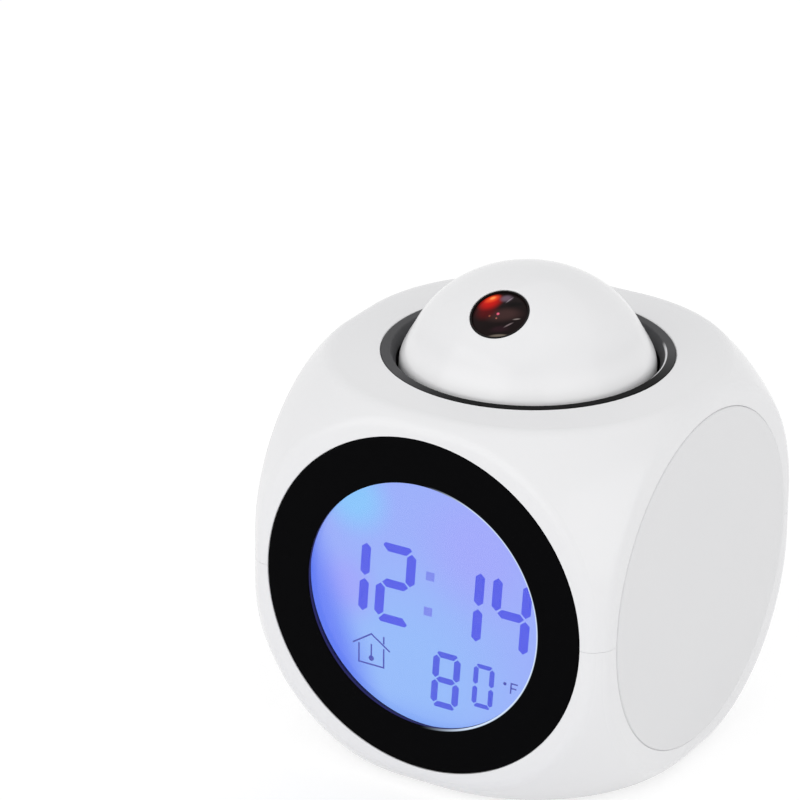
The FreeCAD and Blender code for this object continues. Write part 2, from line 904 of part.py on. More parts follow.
def make_zebra():
    """The rubber contact strip between the cell's lower edge and the board."""
    low = mid - lcd_half + s.display_gap
    half = lcd_half - s.lcd_cut - s.strip_inset
    return block("contact_strip", (-half, lcd_back, low),
                 (half, board_front, low + s.strip_wide))


def bridge(name, side, near, far):
    """The flat that joins an ear to the side that it stands on."""
    low, high = (-ear_x, s.bite - frame_half) if side < 0 else (frame_half - s.bite, ear_x)
    return block(name, (low, near, mid + s.ear_height - ear_bridge),
                 (high, far, mid + s.ear_height + ear_bridge))


def make_lcd_frame():
    """The carrier round cell and guide, with two ears on the shell's bosses."""
    hole = lcd_half + s.display_gap
    ring = plate("lcd_frame_ring", octagon(frame_half, s.lcd_cut + s.frame_wall / 2), [],
                 board_front - lcd_front, (0, board_front, mid), TO_FRONT)
    space = plate("lcd_frame_space", octagon(hole, s.lcd_cut), [],
                  s.half_width, (0, board_front + s.over, mid), TO_FRONT)
    tools = [space]
    pieces = [ring]
    for side in (-1, 1):
        x = side * ear_x
        pieces.append(rod("ear", s.ear_radius, s.ear_thick,
                          (x, board_front, mid + s.ear_height), TO_FRONT))
        pieces.append(bridge("ear_bridge", side, ear_front, board_front))
        tools.append(rod("ear_hole", s.screw_radius + s.hole_play, 2 * s.ear_thick,
                         (x, board_front + s.over, mid + s.ear_height), TO_FRONT))
    return cut("lcd_frame", fuse("lcd_frame_solid", pieces), tools)


def make_main_board():
    """The circuit board that closes the display's back, with ears like the frame's."""
    board = plate("main_board_plate", octagon(frame_half, s.lcd_cut + s.frame_wall / 2), [],
                  s.board_thick, (0, board_back, mid), TO_FRONT)
    pieces = [board]
    tools = []
    for side in (-1, 1):
        x = side * ear_x
        pieces.append(rod("board_ear", s.ear_radius, s.board_thick,
                          (x, board_back, mid + s.ear_height), TO_FRONT))
        pieces.append(bridge("board_bridge", side, board_front, board_back))
        tools.append(rod("board_hole", s.screw_radius + s.hole_play, 2 * s.board_thick + s.over,
                         (x, board_back + s.over, mid + s.ear_height), TO_FRONT))
    return cut("main_board", fuse("main_board_solid", pieces), tools)


def small_screw(name, at, turn):
    """A small pan-head screw: its axis points from the shank to the head."""
    shank = s.screw_radius
    head = s.screw_head
    length = s.screw_length
    end = length + s.screw_head_thick
    return spin(name, [
        (0, 0), (shank - s.screw_point, 0), (shank, s.screw_point_long), (shank, length),
        (head, length), (head, end - s.screw_head_edge), (head - s.screw_head_edge, end),
        (0, end)], at, turn)


def make_main_chip():
    half = s.chip_side / 2
    return block("main_chip", (-half, board_back, mid - half),
                 (half, board_back + s.chip_thick, mid + half))


def make_sensor():
    """The temperature sensor, low on the board and away from the lamps."""
    low = mid - frame_half + s.sensor_side
    return block("temperature_sensor", (s.chip_side / 2, board_back, low),
                 (s.chip_side / 2 + 2 * s.sensor_side, board_back + s.sensor_side / 2,
                  low + s.sensor_side))


def make_display_screws():
    screws = [small_screw("display_screw", (x, board_back - s.screw_length, mid + s.ear_height),
                          TO_BACK)
              for x in (-ear_x, ear_x)]
    return group("display_screws", screws)


def make_well_ring():
    """The ring in the top face with the sleeve that the dome sinks into."""
    low = 0
    flange = s.well_depth - s.well_flange
    ring = spin("well_ring", [
        (well_opening, low), (sleeve_outer, low), (sleeve_outer, flange),
        (well_radius, flange), (well_radius, s.well_depth), (well_opening, s.well_depth)],
        (0, 0, well_floor))
    return round_off(ring, s.well_edge, circle_at(well_opening, s.well_depth))


# The projector's beam: it leaves the dome at a fixed height and heading

beam_height = equator + s.dome_rise * root(1 - (s.beam_exit / s.dome_radius)
                                           * (s.beam_exit / s.dome_radius))
beam_turn = (FreeCAD.Rotation(Z_AXIS, SIZES["dome_heading"])
             * FreeCAD.Rotation(X_AXIS, 90 - SIZES["beam_elevation"]))


def on_beam(depth):
    """The point on the beam's axis at a depth below the dome's surface."""
    away = s.beam_exit - depth * cosine(s.beam_elevation)
    return (away * sine(s.dome_heading), -away * cosine(s.dome_heading),
            beam_height - depth * sine(s.beam_elevation))


barrel_radius = s.beam_opening - s.barrel_play
lens_radius = barrel_radius - s.barrel_wall
lens_sag = s.lens_curve - root(s.lens_curve * s.lens_curve - lens_radius * lens_radius)
lens_front = s.barrel_recess + s.lens_recess
lens_centre = lens_front + lens_sag + s.lens_rim / 2
lamp_start = s.barrel_recess + s.barrel_front
slide_front = lamp_start + s.lamp_wall
slide_back = slide_front + s.slide_thick
condenser_back = slide_back + s.optic_gap + s.condenser_rise
led_tip = condenser_back + s.optic_gap
lamp_board_front = led_tip + s.lamp_led_long
lamp_board_back = lamp_board_front + s.lamp_board


def make_dome():
    """The white cap: half an ellipsoid on a short skirt, hollow, with the beam's opening."""
    radius = s.dome_radius
    inner = radius - s.dome_wall
    outer_cap = doc.addObject("Part::Ellipsoid", "dome_cap")
    inner_cap = doc.addObject("Part::Ellipsoid", "dome_inside")
    for cap, side, rise in ((outer_cap, radius, s.dome_rise),
                            (inner_cap, inner, s.dome_rise - s.dome_wall)):
        bind(cap, "Radius1", rise)
        bind(cap, "Radius2", side)
        bind(cap, "Radius3", side)
        cap.Angle1 = 0
        cap.Angle2 = 90
        place(cap, (0, 0, equator))
    skirt = rod("dome_skirt_outer", radius, s.dome_skirt, (0, 0, skirt_end))
    hollow = rod("dome_skirt_inner", inner, s.dome_skirt + s.over, (0, 0, skirt_end - s.over))
    opening = rod("beam_opening_tool", s.beam_opening, s.dome_radius,
                  on_beam(s.dome_radius / 2), beam_turn)
    solid = fuse("dome_solid", [outer_cap, skirt])
    return cut("projector_dome", solid, [inner_cap, hollow, opening])


def make_dome_base():
    """The dome's floor, with the spigot it turns on and a slanted stand for the barrel."""
    outer = s.dome_radius - s.dome_wall - s.dome_play
    groove = s.spigot_radius - s.clip_groove
    play = s.clip_play / 2
    base = spin("dome_base_turned", [
        (s.spigot_bore, spigot_end - skirt_end), (s.spigot_radius, spigot_end - skirt_end),
        (s.spigot_radius, clip_bottom - play - skirt_end), (groove, clip_bottom - play - skirt_end),
        (groove, clip_top + play - skirt_end), (s.spigot_radius, clip_top + play - skirt_end),
        (s.spigot_radius, 0), (outer, 0), (outer, s.base_thick), (s.spigot_bore, s.base_thick)],
        (0, 0, skirt_end))
    stand = rod("pedestal", s.lamp_radius, s.dome_radius,
                on_beam(lamp_board_back + s.dome_radius), beam_turn)
    above = block("pedestal_room", (-outer, -outer, base_top - s.base_thick / 2),
                  (outer, outer, top))
    foot = common("pedestal_foot", [stand, above])
    wire_way = rod("wire_way", s.lamp_radius - 2 * s.lamp_wall, 2 * s.dome_radius,
                   on_beam(lamp_board_back + s.dome_radius), beam_turn)
    wires = common("wire_room", [wire_way, block("wire_limit", (-outer, -outer, skirt_end),
                                                 (outer, outer, top))])
    bore = rod("spigot_way", s.spigot_bore, s.base_thick + s.over, (0, 0, skirt_end - s.over / 2))
    peg = rod("stop_peg", s.stop_radius, s.stop_drop + s.base_thick / 2,
              (0, -s.stop_circle, skirt_end - s.stop_drop))
    return cut("dome_base", fuse("dome_base_solid", [base, foot, peg]), [wires, bore])


def make_clip():
    inner = s.spigot_radius - s.clip_groove + s.clip_play / 2
    ring = spin("retaining_clip_ring", [
        (inner, 0), (clip_radius, 0), (clip_radius, s.clip_thick), (inner, s.clip_thick)],
        (0, 0, clip_bottom))
    half = s.clip_mouth / 2
    mouth = block("clip_mouth", (-half, 0, clip_bottom - s.over),
                  (half, 2 * clip_radius, clip_top + s.over))
    return cut("retaining_clip", ring, [mouth])


def make_barrel():
    """The stepped tube that holds lens, slide, condenser and lamp on one axis."""
    end = lamp_board_back - s.barrel_recess
    shoulder = end - s.barrel_front
    bore = s.lamp_radius - s.lamp_wall
    gate = s.slide_half - s.slide_gate
    return spin("lens_barrel", [
        (bore, 0), (s.lamp_radius, 0), (s.lamp_radius, shoulder), (barrel_radius, shoulder),
        (barrel_radius, end), (lens_radius, end), (lens_radius, shoulder),
        (gate, shoulder), (gate, shoulder - s.lamp_wall), (bore, shoulder - s.lamp_wall)],
        on_beam(lamp_board_back), beam_turn)


def make_lens():
    """A lens with two curved faces and a short straight rim."""
    rim = rod("lens_rim_rod", lens_radius - s.lens_play, 2 * lens_sag + s.lens_rim,
              on_beam(lens_centre + lens_sag + s.lens_rim / 2), beam_turn)
    reach = s.lens_curve - lens_sag - s.lens_rim / 2
    front_ball = ball("lens_front_ball", s.lens_curve, on_beam(lens_centre + reach))
    back_ball = ball("lens_back_ball", s.lens_curve, on_beam(lens_centre - reach))
    return common("projector_lens", [rim, front_ball, back_ball])


def make_slide():
    """The small display cell whose picture the lamp throws."""
    return plate("projector_slide", rectangle(s.slide_half, s.slide_half), [], s.slide_thick,
                 on_beam(slide_back), beam_turn)


def make_condenser():
    """A lens that is flat towards the slide and curved towards the lamp."""
    radius = s.lamp_radius - s.lamp_wall - s.optic_gap
    disc = rod("condenser_rod", radius, s.condenser_rise, on_beam(condenser_back), beam_turn)
    curve = ball("condenser_ball", s.condenser_curve, on_beam(condenser_back - s.condenser_curve))
    return common("condenser_lens", [disc, curve])


def make_projector_led():
    rim = s.lamp_led + s.lamp_led_rim
    led = spin("projector_led", [
        (0, 0), (rim, 0), (rim, s.lamp_led_rim_thick), (s.lamp_led, s.lamp_led_rim_thick),
        (s.lamp_led, s.lamp_led_long), (0, s.lamp_led_long)], on_beam(lamp_board_front), beam_turn)
    return round_off(led, s.lamp_led_edge, circle_at(s.lamp_led, s.lamp_led_long))


def make_lamp_board():
    radius = s.lamp_radius - s.lamp_wall - s.optic_gap
    return spin("projector_board", [
        (0, 0), (radius, 0), (radius, s.lamp_board), (0, s.lamp_board)],
        on_beam(lamp_board_back), beam_turn)


def make_carrier():
    """The disc that the dome turns on.

    Two guide pins keep it from turning, and the peg under the dome's floor runs in its half
    round groove, whose ends stop the dome a quarter turn to each side.
    """
    disc = spin("press_carrier_disc", [
        (s.spigot_radius + s.dome_play, 0), (carrier_radius, 0), (carrier_radius, s.carrier_thick),
        (s.spigot_radius + s.dome_play, s.carrier_thick)], (0, 0, carrier_bottom))
    pins = [rod("guide_pin", s.pin_radius, s.pin_long + s.carrier_thick / 2,
                (x, 0, carrier_bottom - s.pin_long))
            for x in (-s.pin_circle, s.pin_circle)]
    reach = s.stop_radius + s.stop_play
    floor = skirt_end - s.stop_drop - s.stop_play
    track = spin("stop_track", [
        (s.stop_circle - reach, 0), (s.stop_circle + reach, 0),
        (s.stop_circle + reach, s.carrier_thick), (s.stop_circle - reach, s.carrier_thick)],
        (0, 0, floor))
    half = block("stop_half", (-carrier_radius, -carrier_radius, floor - s.over),
                 (carrier_radius, s.stop_radius + s.stop_play, skirt_end))
    groove = common("stop_groove", [track, half])
    return cut("press_carrier", fuse("press_carrier_solid", [disc, *pins]), [groove])


def make_pad():
    """The soft ring that lifts the carrier back up."""
    high = carrier_bottom - tray_top
    return spin("return_pad", [
        (s.pad_inner, 0), (s.pad_outer, 0), (s.pad_outer, high), (s.pad_inner, high)],
        (0, 0, tray_top))


def make_tray():
    """The floor of the well, screwed to four bosses under the top of the case."""
    disc = rod("tray_disc", sleeve_outer + s.tray_margin, s.tray_thick, (0, 0, tray_bottom))
    ears = [rod("tray_ear", s.tray_boss_radius + s.tray_ear_wall, s.tray_thick, (x, y, tray_bottom))
            for x, y in tray_bosses]
    tools = [rod("tray_bore", clip_radius + s.tray_bore_play, 2 * s.tray_thick,
                 (0, 0, tray_bottom - s.tray_thick / 2))]
    half = s.switch_side / 2 + s.tray_play
    tools.append(block("switch_window", (-half, s.snooze_circle - half, tray_bottom - s.over),
                       (half, s.snooze_circle + half, tray_top + s.over)))
    for x in (-s.pin_circle, s.pin_circle):
        tools.append(rod("pin_hole", s.pin_radius + s.pin_play, 2 * s.tray_thick,
                         (x, 0, tray_bottom - s.tray_thick / 2)))
    for x, y in tray_bosses:
        tools.append(rod("tray_screw_hole", s.screw_radius + s.hole_play, 2 * s.tray_thick,
                         (x, y, tray_bottom - s.tray_thick / 2)))
    for x, y in four(column_x, s.column_y):
        tools.append(rod("column_notch", s.column_radius + s.tray_play, 2 * s.tray_thick,
                         (x, y, tray_bottom - s.tray_thick / 2)))
    return cut("projector_tray", fuse("tray_solid", [disc, *ears]), tools)


snooze_switch_base = plunger_top - s.switch_body
snooze_board_bottom = snooze_switch_base - s.thin_board


def make_tray_screws():
    screws = [small_screw("tray_screw", (x, y, tray_bottom + s.screw_length),
                          FreeCAD.Rotation(X_AXIS, 180))
              for x, y in tray_bosses]
    return group("tray_screws", screws)


def make_snooze_board():
    """A small board under the tray, hung on two spacers."""
    half = s.snooze_board_wide / 2
    deep = s.snooze_board_deep / 2
    board = block("snooze_plate", (-half, s.snooze_circle - deep, snooze_board_bottom),
                  (half, s.snooze_circle + deep, snooze_switch_base))
    spacers = [rod("snooze_spacer", s.spacer_radius, tray_bottom - snooze_switch_base,
                   (side * (half - s.spacer_inset), s.snooze_circle, snooze_switch_base))
               for side in (-1, 1)]
    return fuse("snooze_board", [board, *spacers])


def tact_switch(name, low, high, plunger_at, plunger_turn):
    """A square push switch with a short round plunger on top."""
    body = block(f"{name}_body", low, high)
    plunger = rod(f"{name}_plunger", s.switch_plunger, s.plunger_high, plunger_at, plunger_turn)
    return fuse(name, [body, plunger])


def make_snooze_switch():
    half = s.switch_side / 2
    high = plunger_top - s.plunger_high + s.plunger_sunk
    return tact_switch("snooze_switch", (-half, s.snooze_circle - half, snooze_switch_base),
                       (half, s.snooze_circle + half, high),
                       (0, s.snooze_circle, high - s.plunger_sunk), UPRIGHT)


def make_case_screws():
    """Four long-reach screws, deep in the counterbores under the case."""
    shank = s.case_screw_radius
    head = s.case_screw_head
    thick = s.case_screw_head_thick
    length = s.case_screw_length
    screws = [spin("case_screw", [
        (0, 0), (head - s.screw_head_edge, 0), (head, s.screw_head_edge), (head, thick),
        (shank, thick), (shank, thick + length - s.case_screw_point_long),
        (shank - s.case_screw_point, thick + length), (0, thick + length)],
        (x, y, case_seat - thick)) for x, y in four(column_x, s.column_y)]
    return group("case_screws", screws)


def make_feet():
    high = s.foot_stand + s.foot_sink
    feet = []
    for x, y in four(s.foot_x, s.foot_y):
        foot = spin("foot", [
            (0, 0), (s.foot_radius, 0), (s.foot_radius, high), (0, high)], (x, y, 0))
        feet.append(round_off(foot, s.foot_edge, circle_at(s.foot_radius, 0)))
    return group("rubber_feet", feet)


def make_batteries():
    """Three AAA cells side by side, the middle one turned about."""
    cells = []
    for index, x in enumerate((-s.cell_pitch, 0, s.cell_pitch)):
        way = TO_BACK if index % 2 == 0 else TO_FRONT
        side = -1 if index % 2 == 0 else 1
        cells.append(spin("cell", [
            (0, 0), (s.cell_radius - s.cell_edge, 0), (s.cell_radius, s.cell_edge),
            (s.cell_radius, s.cell_long - s.cell_edge), (s.cell_radius - s.cell_edge, s.cell_long),
            (s.nub_radius, s.cell_long), (s.nub_radius, s.cell_long + s.nub_long),
            (0, s.cell_long + s.nub_long)], (x, side * cell_half, cell_height), way))
    return group("batteries", cells)


def make_contacts():
    """A plate with a pressed dome at both ends of each cell."""
    contacts = []
    for x in (-s.cell_pitch, 0, s.cell_pitch):
        for side, turn in ((1, TO_FRONT), (-1, TO_BACK)):
            wall = side * bay_half_long
            face = side * (bay_half_long - s.contact_thick)
            low, near = (face, wall) if side > 0 else (wall, face)
            leaf = block("leaf", (x - s.contact_half, low, cell_height - s.contact_high / 2),
                         (x + s.contact_half, near, cell_height + s.contact_high / 2))
            dome = doc.addObject("Part::Cone", "leaf_dome")
            bind(dome, "Radius1", s.contact_dome)
            bind(dome, "Radius2", s.nub_radius)
            bind(dome, "Height", s.contact_rise)
            place(dome, (x, face, cell_height), turn)
            contacts.append(fuse("contact", [leaf, dome]))
    return group("battery_contacts", contacts)


def make_battery_door():
    """The lid under the cells: a round rear edge to pivot on, two hooks and a latch."""
    half = s.door_thick / 2
    lid = block("door_plate", (-s.door_half_wide, -s.door_half_long, bottom),
                (s.door_half_wide, door_pivot_y, door_top))
    edge = rod("door_edge", half, 2 * s.door_half_wide, (-s.door_half_wide, door_pivot_y,
                                                         door_pivot_z), TO_RIGHT)
    hook_low = ledge_top + s.hook_clear
    web_front = door_pivot_y - s.hook_web / 2 - s.hook_back
    pieces = [lid, edge]
    for x in (-s.hook_x, s.hook_x):
        pieces.append(block("hook_web", (x - s.hook_half, web_front, door_pivot_z),
                            (x + s.hook_half, web_front + s.hook_web, hook_low + s.hook_thick)))
        pieces.append(block("hook_tip", (x - s.hook_half, door_pivot_y, hook_low),
                            (x + s.hook_half, recess_long + s.hook_reach / 2,
                             hook_low + s.hook_thick)))
    pieces.append(block("latch_tongue", (-s.latch_half, -s.door_half_long + s.door_gap,
                                         door_pivot_z),
                        (s.latch_half, -s.door_half_long + s.door_gap + s.latch_thick,
                         door_top + s.latch_high)))
    thumb = rod("thumb_tool", s.thumb_curve, 2 * s.thumb_half_wide,
                (-s.thumb_half_wide, -s.thumb_y, bottom + s.thumb_deep - s.thumb_curve), TO_RIGHT)
    return cut("battery_door", fuse("battery_door_solid", pieces), [thumb])


def make_back_panel():
    """The dished back panel with grille, button holes, speaker cradle and posts."""
    rim = s.recess_depth
    face = rim + s.panel_rim
    dish = spin("panel_dish_body", [
        (0, 0), (panel_body, 0), (panel_body, s.panel_rim), (panel_radius, s.panel_rim),
        (panel_radius, face), (panel_dish, face), (panel_dish - s.panel_slope, s.panel_floor),
        (0, s.panel_floor)], (0, panel_inner, mid), TO_BACK)
    round_off(dish, s.disc_edge, circle_at(panel_radius, face))
    grille_z = mid + s.grille_height
    cradle_bore = s.speaker_radius + s.cradle_play
    cradle = spin("speaker_cradle", [
        (cradle_bore, 0), (cradle_bore + s.cradle_wall, 0),
        (cradle_bore + s.cradle_wall, s.cradle_deep + s.bite), (cradle_bore, s.cradle_deep + s.bite)],
        (0, panel_inner - s.cradle_deep, grille_z), TO_BACK)
    posts = [rod("board_post", s.post_radius, panel_inner - button_board_back + s.bite,
                 (x, button_board_back, button_z), TO_BACK)
             for x in (-s.post_x, s.post_x)]
    tools = []
    for x, z in grille_places():
        tools.append(rod("grille_hole_tool", s.grille_hole, 3 * s.panel_floor,
                         (x, panel_inner - s.panel_floor, grille_z + z), TO_BACK))
    for x in button_places.values():
        tools.append(rod("button_hole", s.button_radius + s.button_play, 3 * s.panel_floor,
                         (x, panel_inner - s.panel_floor, button_z), TO_BACK))
    for x in (-s.post_x, s.post_x):
        tools.append(rod("post_thread", s.screw_radius + s.thread_play, s.screw_length,
                         (x, button_board_back, button_z), TO_BACK))
    return cut("back_panel", fuse("panel_solid", [dish, cradle, *posts]), tools)


def grille_places():
    """Nineteen places in three rings of a hexagonal pattern."""
    places = [(as_size(0), as_size(0))]
    for ring in (1, 2):
        for index in range(6 * ring):
            corner, step = divmod(index, ring)
            start = math.radians(60 * corner)
            end = math.radians(60 * (corner + 1))
            share = step / ring
            x = ring * ((1 - share) * math.cos(start) + share * math.cos(end))
            z = ring * ((1 - share) * math.sin(start) + share * math.sin(end))
            places.append((s.grille_pitch * x, s.grille_pitch * z))
    return places


def make_button(name, x):
    """A round cap with a flange behind the panel and a stem to its switch."""
    face = panel_outer + s.button_proud
    flange = s.button_radius + s.button_flange_rim
    button = spin(name, [
        (0, 0), (s.button_stem, 0), (s.button_stem, flange_back - stem_end),
        (flange, flange_back - stem_end), (flange, flange_face - stem_end),
        (s.button_radius, flange_face - stem_end), (s.button_radius, face - stem_end),
        (0, face - stem_end)], (x, stem_end, button_z), TO_BACK)
    return round_off(button, s.button_edge, circle_at(s.button_radius, face - stem_end))


def make_button_board():
    board = plate("button_board_plate", rectangle(s.button_board_long, s.button_board_high),
                  [(s.post_x, 0, s.screw_radius + s.hole_play),
                   (-s.post_x, 0, s.screw_radius + s.hole_play)],
                  s.board_thick, (0, button_board_back, button_z), TO_FRONT)
    board.Label = "button_board"
    return board


def make_button_switches():
    half = s.switch_side / 2
    high = button_plunger - s.plunger_high + s.plunger_sunk
    switches = [tact_switch("button_switch", (x - half, button_board_back, button_z - half),
                            (x + half, high, button_z + half),
                            (x, high - s.plunger_sunk, button_z), TO_BACK)
                for x in button_places.values()]
    return group("button_switches", switches)


def make_board_screws():
    screws = [small_screw("board_screw", (x, button_board_front + s.screw_length, button_z),
                          TO_FRONT)
              for x in (-s.post_x, s.post_x)]
    return group("board_screws", screws)


def make_speaker():
    """A small loudspeaker: rim, sloped basket and magnet cup."""
    deep = s.speaker_deep
    cup = s.speaker_cup
    inner = s.speaker_radius - s.speaker_rim
    return spin("speaker", [
        (0, 0), (s.speaker_magnet, 0), (s.speaker_magnet, cup), (inner, deep - s.speaker_flange),
        (s.speaker_radius, deep - s.speaker_flange), (s.speaker_radius, deep), (inner, deep),
        (s.cone_cap, deep - s.cone_deep), (0, deep - s.cone_deep + s.cone_cap_rise)],
        (0, panel_inner - s.gasket_thick - deep, mid + s.grille_height), TO_BACK)


def make_gasket():
    inner = s.speaker_radius - s.gasket_wide
    return spin("speaker_gasket", [
        (inner, 0), (s.speaker_radius, 0), (s.speaker_radius, s.gasket_thick),
        (inner, s.gasket_thick)],
        (0, panel_inner - s.gasket_thick, mid + s.grille_height), TO_BACK)


pieces = [
    make_upper_shell(),
    make_lower_shell(),
    make_side_disc("side_disc_right", 1, TO_RIGHT),
    make_side_disc("side_disc_left", -1, TO_LEFT),
    make_front_bezel(),
    make_window(),
    make_window_gasket(),
    make_lcd_glass(),
    make_guide(),
    make_backlight_leds(),
    make_zebra(),
    make_lcd_frame(),
    make_main_board(),
    make_main_chip(),
    make_sensor(),
    make_display_screws(),
    make_well_ring(),
    make_dome(),
    make_dome_base(),
    make_clip(),
    make_barrel(),
    make_lens(),
    make_slide(),
    make_condenser(),
    make_projector_led(),
    make_lamp_board(),
    make_carrier(),
    make_pad(),
    make_tray(),
    make_tray_screws(),
    make_snooze_board(),
    make_snooze_switch(),
    make_case_screws(),
    make_feet(),
    make_batteries(),
    make_contacts(),
    make_battery_door(),
    make_back_panel(),
    *[make_button(name, x) for name, x in button_places.items()],
    make_button_board(),
    make_button_switches(),
    make_board_screws(),
    make_speaker(),
    make_gasket(),
]
doc.recompute()

# Every object has to be sound before anything is written

for thing in doc.Objects:
    if "Invalid" in thing.State or "Error" in thing.State:
        raise RuntimeError(f"{thing.Label} did not build: {thing.State}")
for piece in pieces:
    if piece.Shape.isNull() or not piece.Shape.isValid():
        raise RuntimeError(f"{piece.Label} has no valid shape")

os.makedirs("parts", exist_ok=True)
for piece in pieces:
    piece.Shape.exportStep(f"parts/{piece.Label}.step")
    box = piece.Shape.BoundBox
    print(f"{piece.Label:20s} {len(piece.Shape.Solids):2d} solids  {piece.Shape.Volume:10.1f} mm3"
          f"  x {box.XMin:7.2f} {box.XMax:7.2f}  y {box.YMin:7.2f} {box.YMax:7.2f}"
          f"  z {box.ZMin:7.2f} {box.ZMax:7.2f}")
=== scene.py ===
import math

import bmesh
import bpy
from mathutils import Matrix, Vector


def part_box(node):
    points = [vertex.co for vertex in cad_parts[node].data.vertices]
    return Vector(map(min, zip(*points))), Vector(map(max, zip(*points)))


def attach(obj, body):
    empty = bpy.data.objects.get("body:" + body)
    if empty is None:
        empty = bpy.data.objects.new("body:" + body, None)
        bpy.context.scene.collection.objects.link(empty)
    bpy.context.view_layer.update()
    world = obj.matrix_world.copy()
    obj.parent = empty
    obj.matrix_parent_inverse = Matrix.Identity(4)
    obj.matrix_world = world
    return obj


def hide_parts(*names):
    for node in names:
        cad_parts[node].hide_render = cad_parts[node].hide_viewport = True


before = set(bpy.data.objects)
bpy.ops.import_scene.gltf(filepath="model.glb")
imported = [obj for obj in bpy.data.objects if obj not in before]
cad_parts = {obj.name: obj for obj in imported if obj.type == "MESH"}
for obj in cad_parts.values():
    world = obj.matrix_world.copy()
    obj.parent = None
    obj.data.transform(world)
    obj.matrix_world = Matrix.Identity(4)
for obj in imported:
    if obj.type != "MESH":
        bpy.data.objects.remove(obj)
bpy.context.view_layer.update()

# Projection alarm clock: glossy white case, black display ring, lit display and projector dome.
# Lengths below are in millimetres, in the part's frame, and become metres in the meshes.

MM = 0.001


def span(node):
    """A node's lowest and highest corner, in millimetres."""
    low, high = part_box(node)
    return low / MM, high / MM


# Places that the frame gives

disc_low, disc_high = span("side_disc_right")
ring_low, ring_high = span("front_bezel")
window_low, window_high = span("lcd_window")
cell_low, cell_high = span("lcd_glass")
well_low, well_high = span("well_ring")
dome_low, dome_high = span("projector_dome")
mid = (disc_low.z + disc_high.z) / 2
top = well_high.z

# Projector dome and its beam

dome_rise = 21.05
dome_wall = 1.6

# The dome widens below this height, up to this much

flare_wide = 1.12
flare_start = 86.5
flare_end = 79.5

# Beam, barrel and lens: depths count back along the beam from the dome's surface

beam_elevation = math.radians(59.3)
beam_heading = math.radians(4.6)
beam_exit = 14.16
beam_opening = 6.05
barrel_recess = 0.85
barrel_wall = 0.3
barrel_play = 0.1
barrel_front = 10.25
lamp_radius = 7.4
lamp_wall = 1.0
lamp_end = 19.8
gate_radius = 3.8
lens_front = 0.15
lens_curve = 14.0
lens_rim = 0.8
barrel_radius = beam_opening - barrel_play
lens_radius = barrel_radius - barrel_wall
lens_sag = lens_curve - math.sqrt(lens_curve ** 2 - lens_radius ** 2)
shoulder = barrel_recess + barrel_front

# Side discs, and how far their moulded edge reaches into the gap round them

disc_thick = 1.7
disc_edge = 0.4
disc_lip = 0.12

# Well: its inner edge, and the throat at the foot of the short cone inside it

well_opening = 27.6
well_throat = 26.4

# Display ring, from the middle of its opening

ring_opening = 26.2
ring_lip = 0.87
cell_corner = 8.0


# Shader maths

class Signal:
    """A number that varies over a surface. Arithmetic on it adds Math nodes."""

    def __init__(self, finish, socket):
        self.finish = finish
        self.socket = socket

    def calculate(self, operation, *values):
        return self.finish.node("ShaderNodeMath", {"operation": operation},
                                dict(enumerate(values)))[0]

    def __add__(self, other):
        return self.calculate("ADD", self, other)

    def __radd__(self, other):
        return self.calculate("ADD", other, self)

    def __sub__(self, other):
        return self.calculate("SUBTRACT", self, other)

    def __rsub__(self, other):
        return self.calculate("SUBTRACT", other, self)

    def __mul__(self, other):
        return self.calculate("MULTIPLY", self, other)

    def __rmul__(self, other):
        return self.calculate("MULTIPLY", other, self)

    def __truediv__(self, other):
        return self.calculate("DIVIDE", self, other)

    def __rtruediv__(self, other):
        return self.calculate("DIVIDE", other, self)

    def __pow__(self, other):
        return self.calculate("POWER", self, other)

    def __gt__(self, other):
        return self.calculate("GREATER_THAN", self, other)

    def larger(self, other):
        return self.calculate("MAXIMUM", self, other)

    def rise(self, low, high):
        """0 below low, 1 above high and a soft step between."""
        return self.finish.node("ShaderNodeMapRange", {"interpolation_type": "SMOOTHSTEP"},
                                {"Value": self, "From Min": low, "From Max": high})[0]


class Outputs:
    """The outputs of a node, by name or number, as signals."""

    def __init__(self, finish, made):
        self.finish = finish
        self.made = made

    def __getitem__(self, key):
        return Signal(self.finish, self.made.outputs[key])


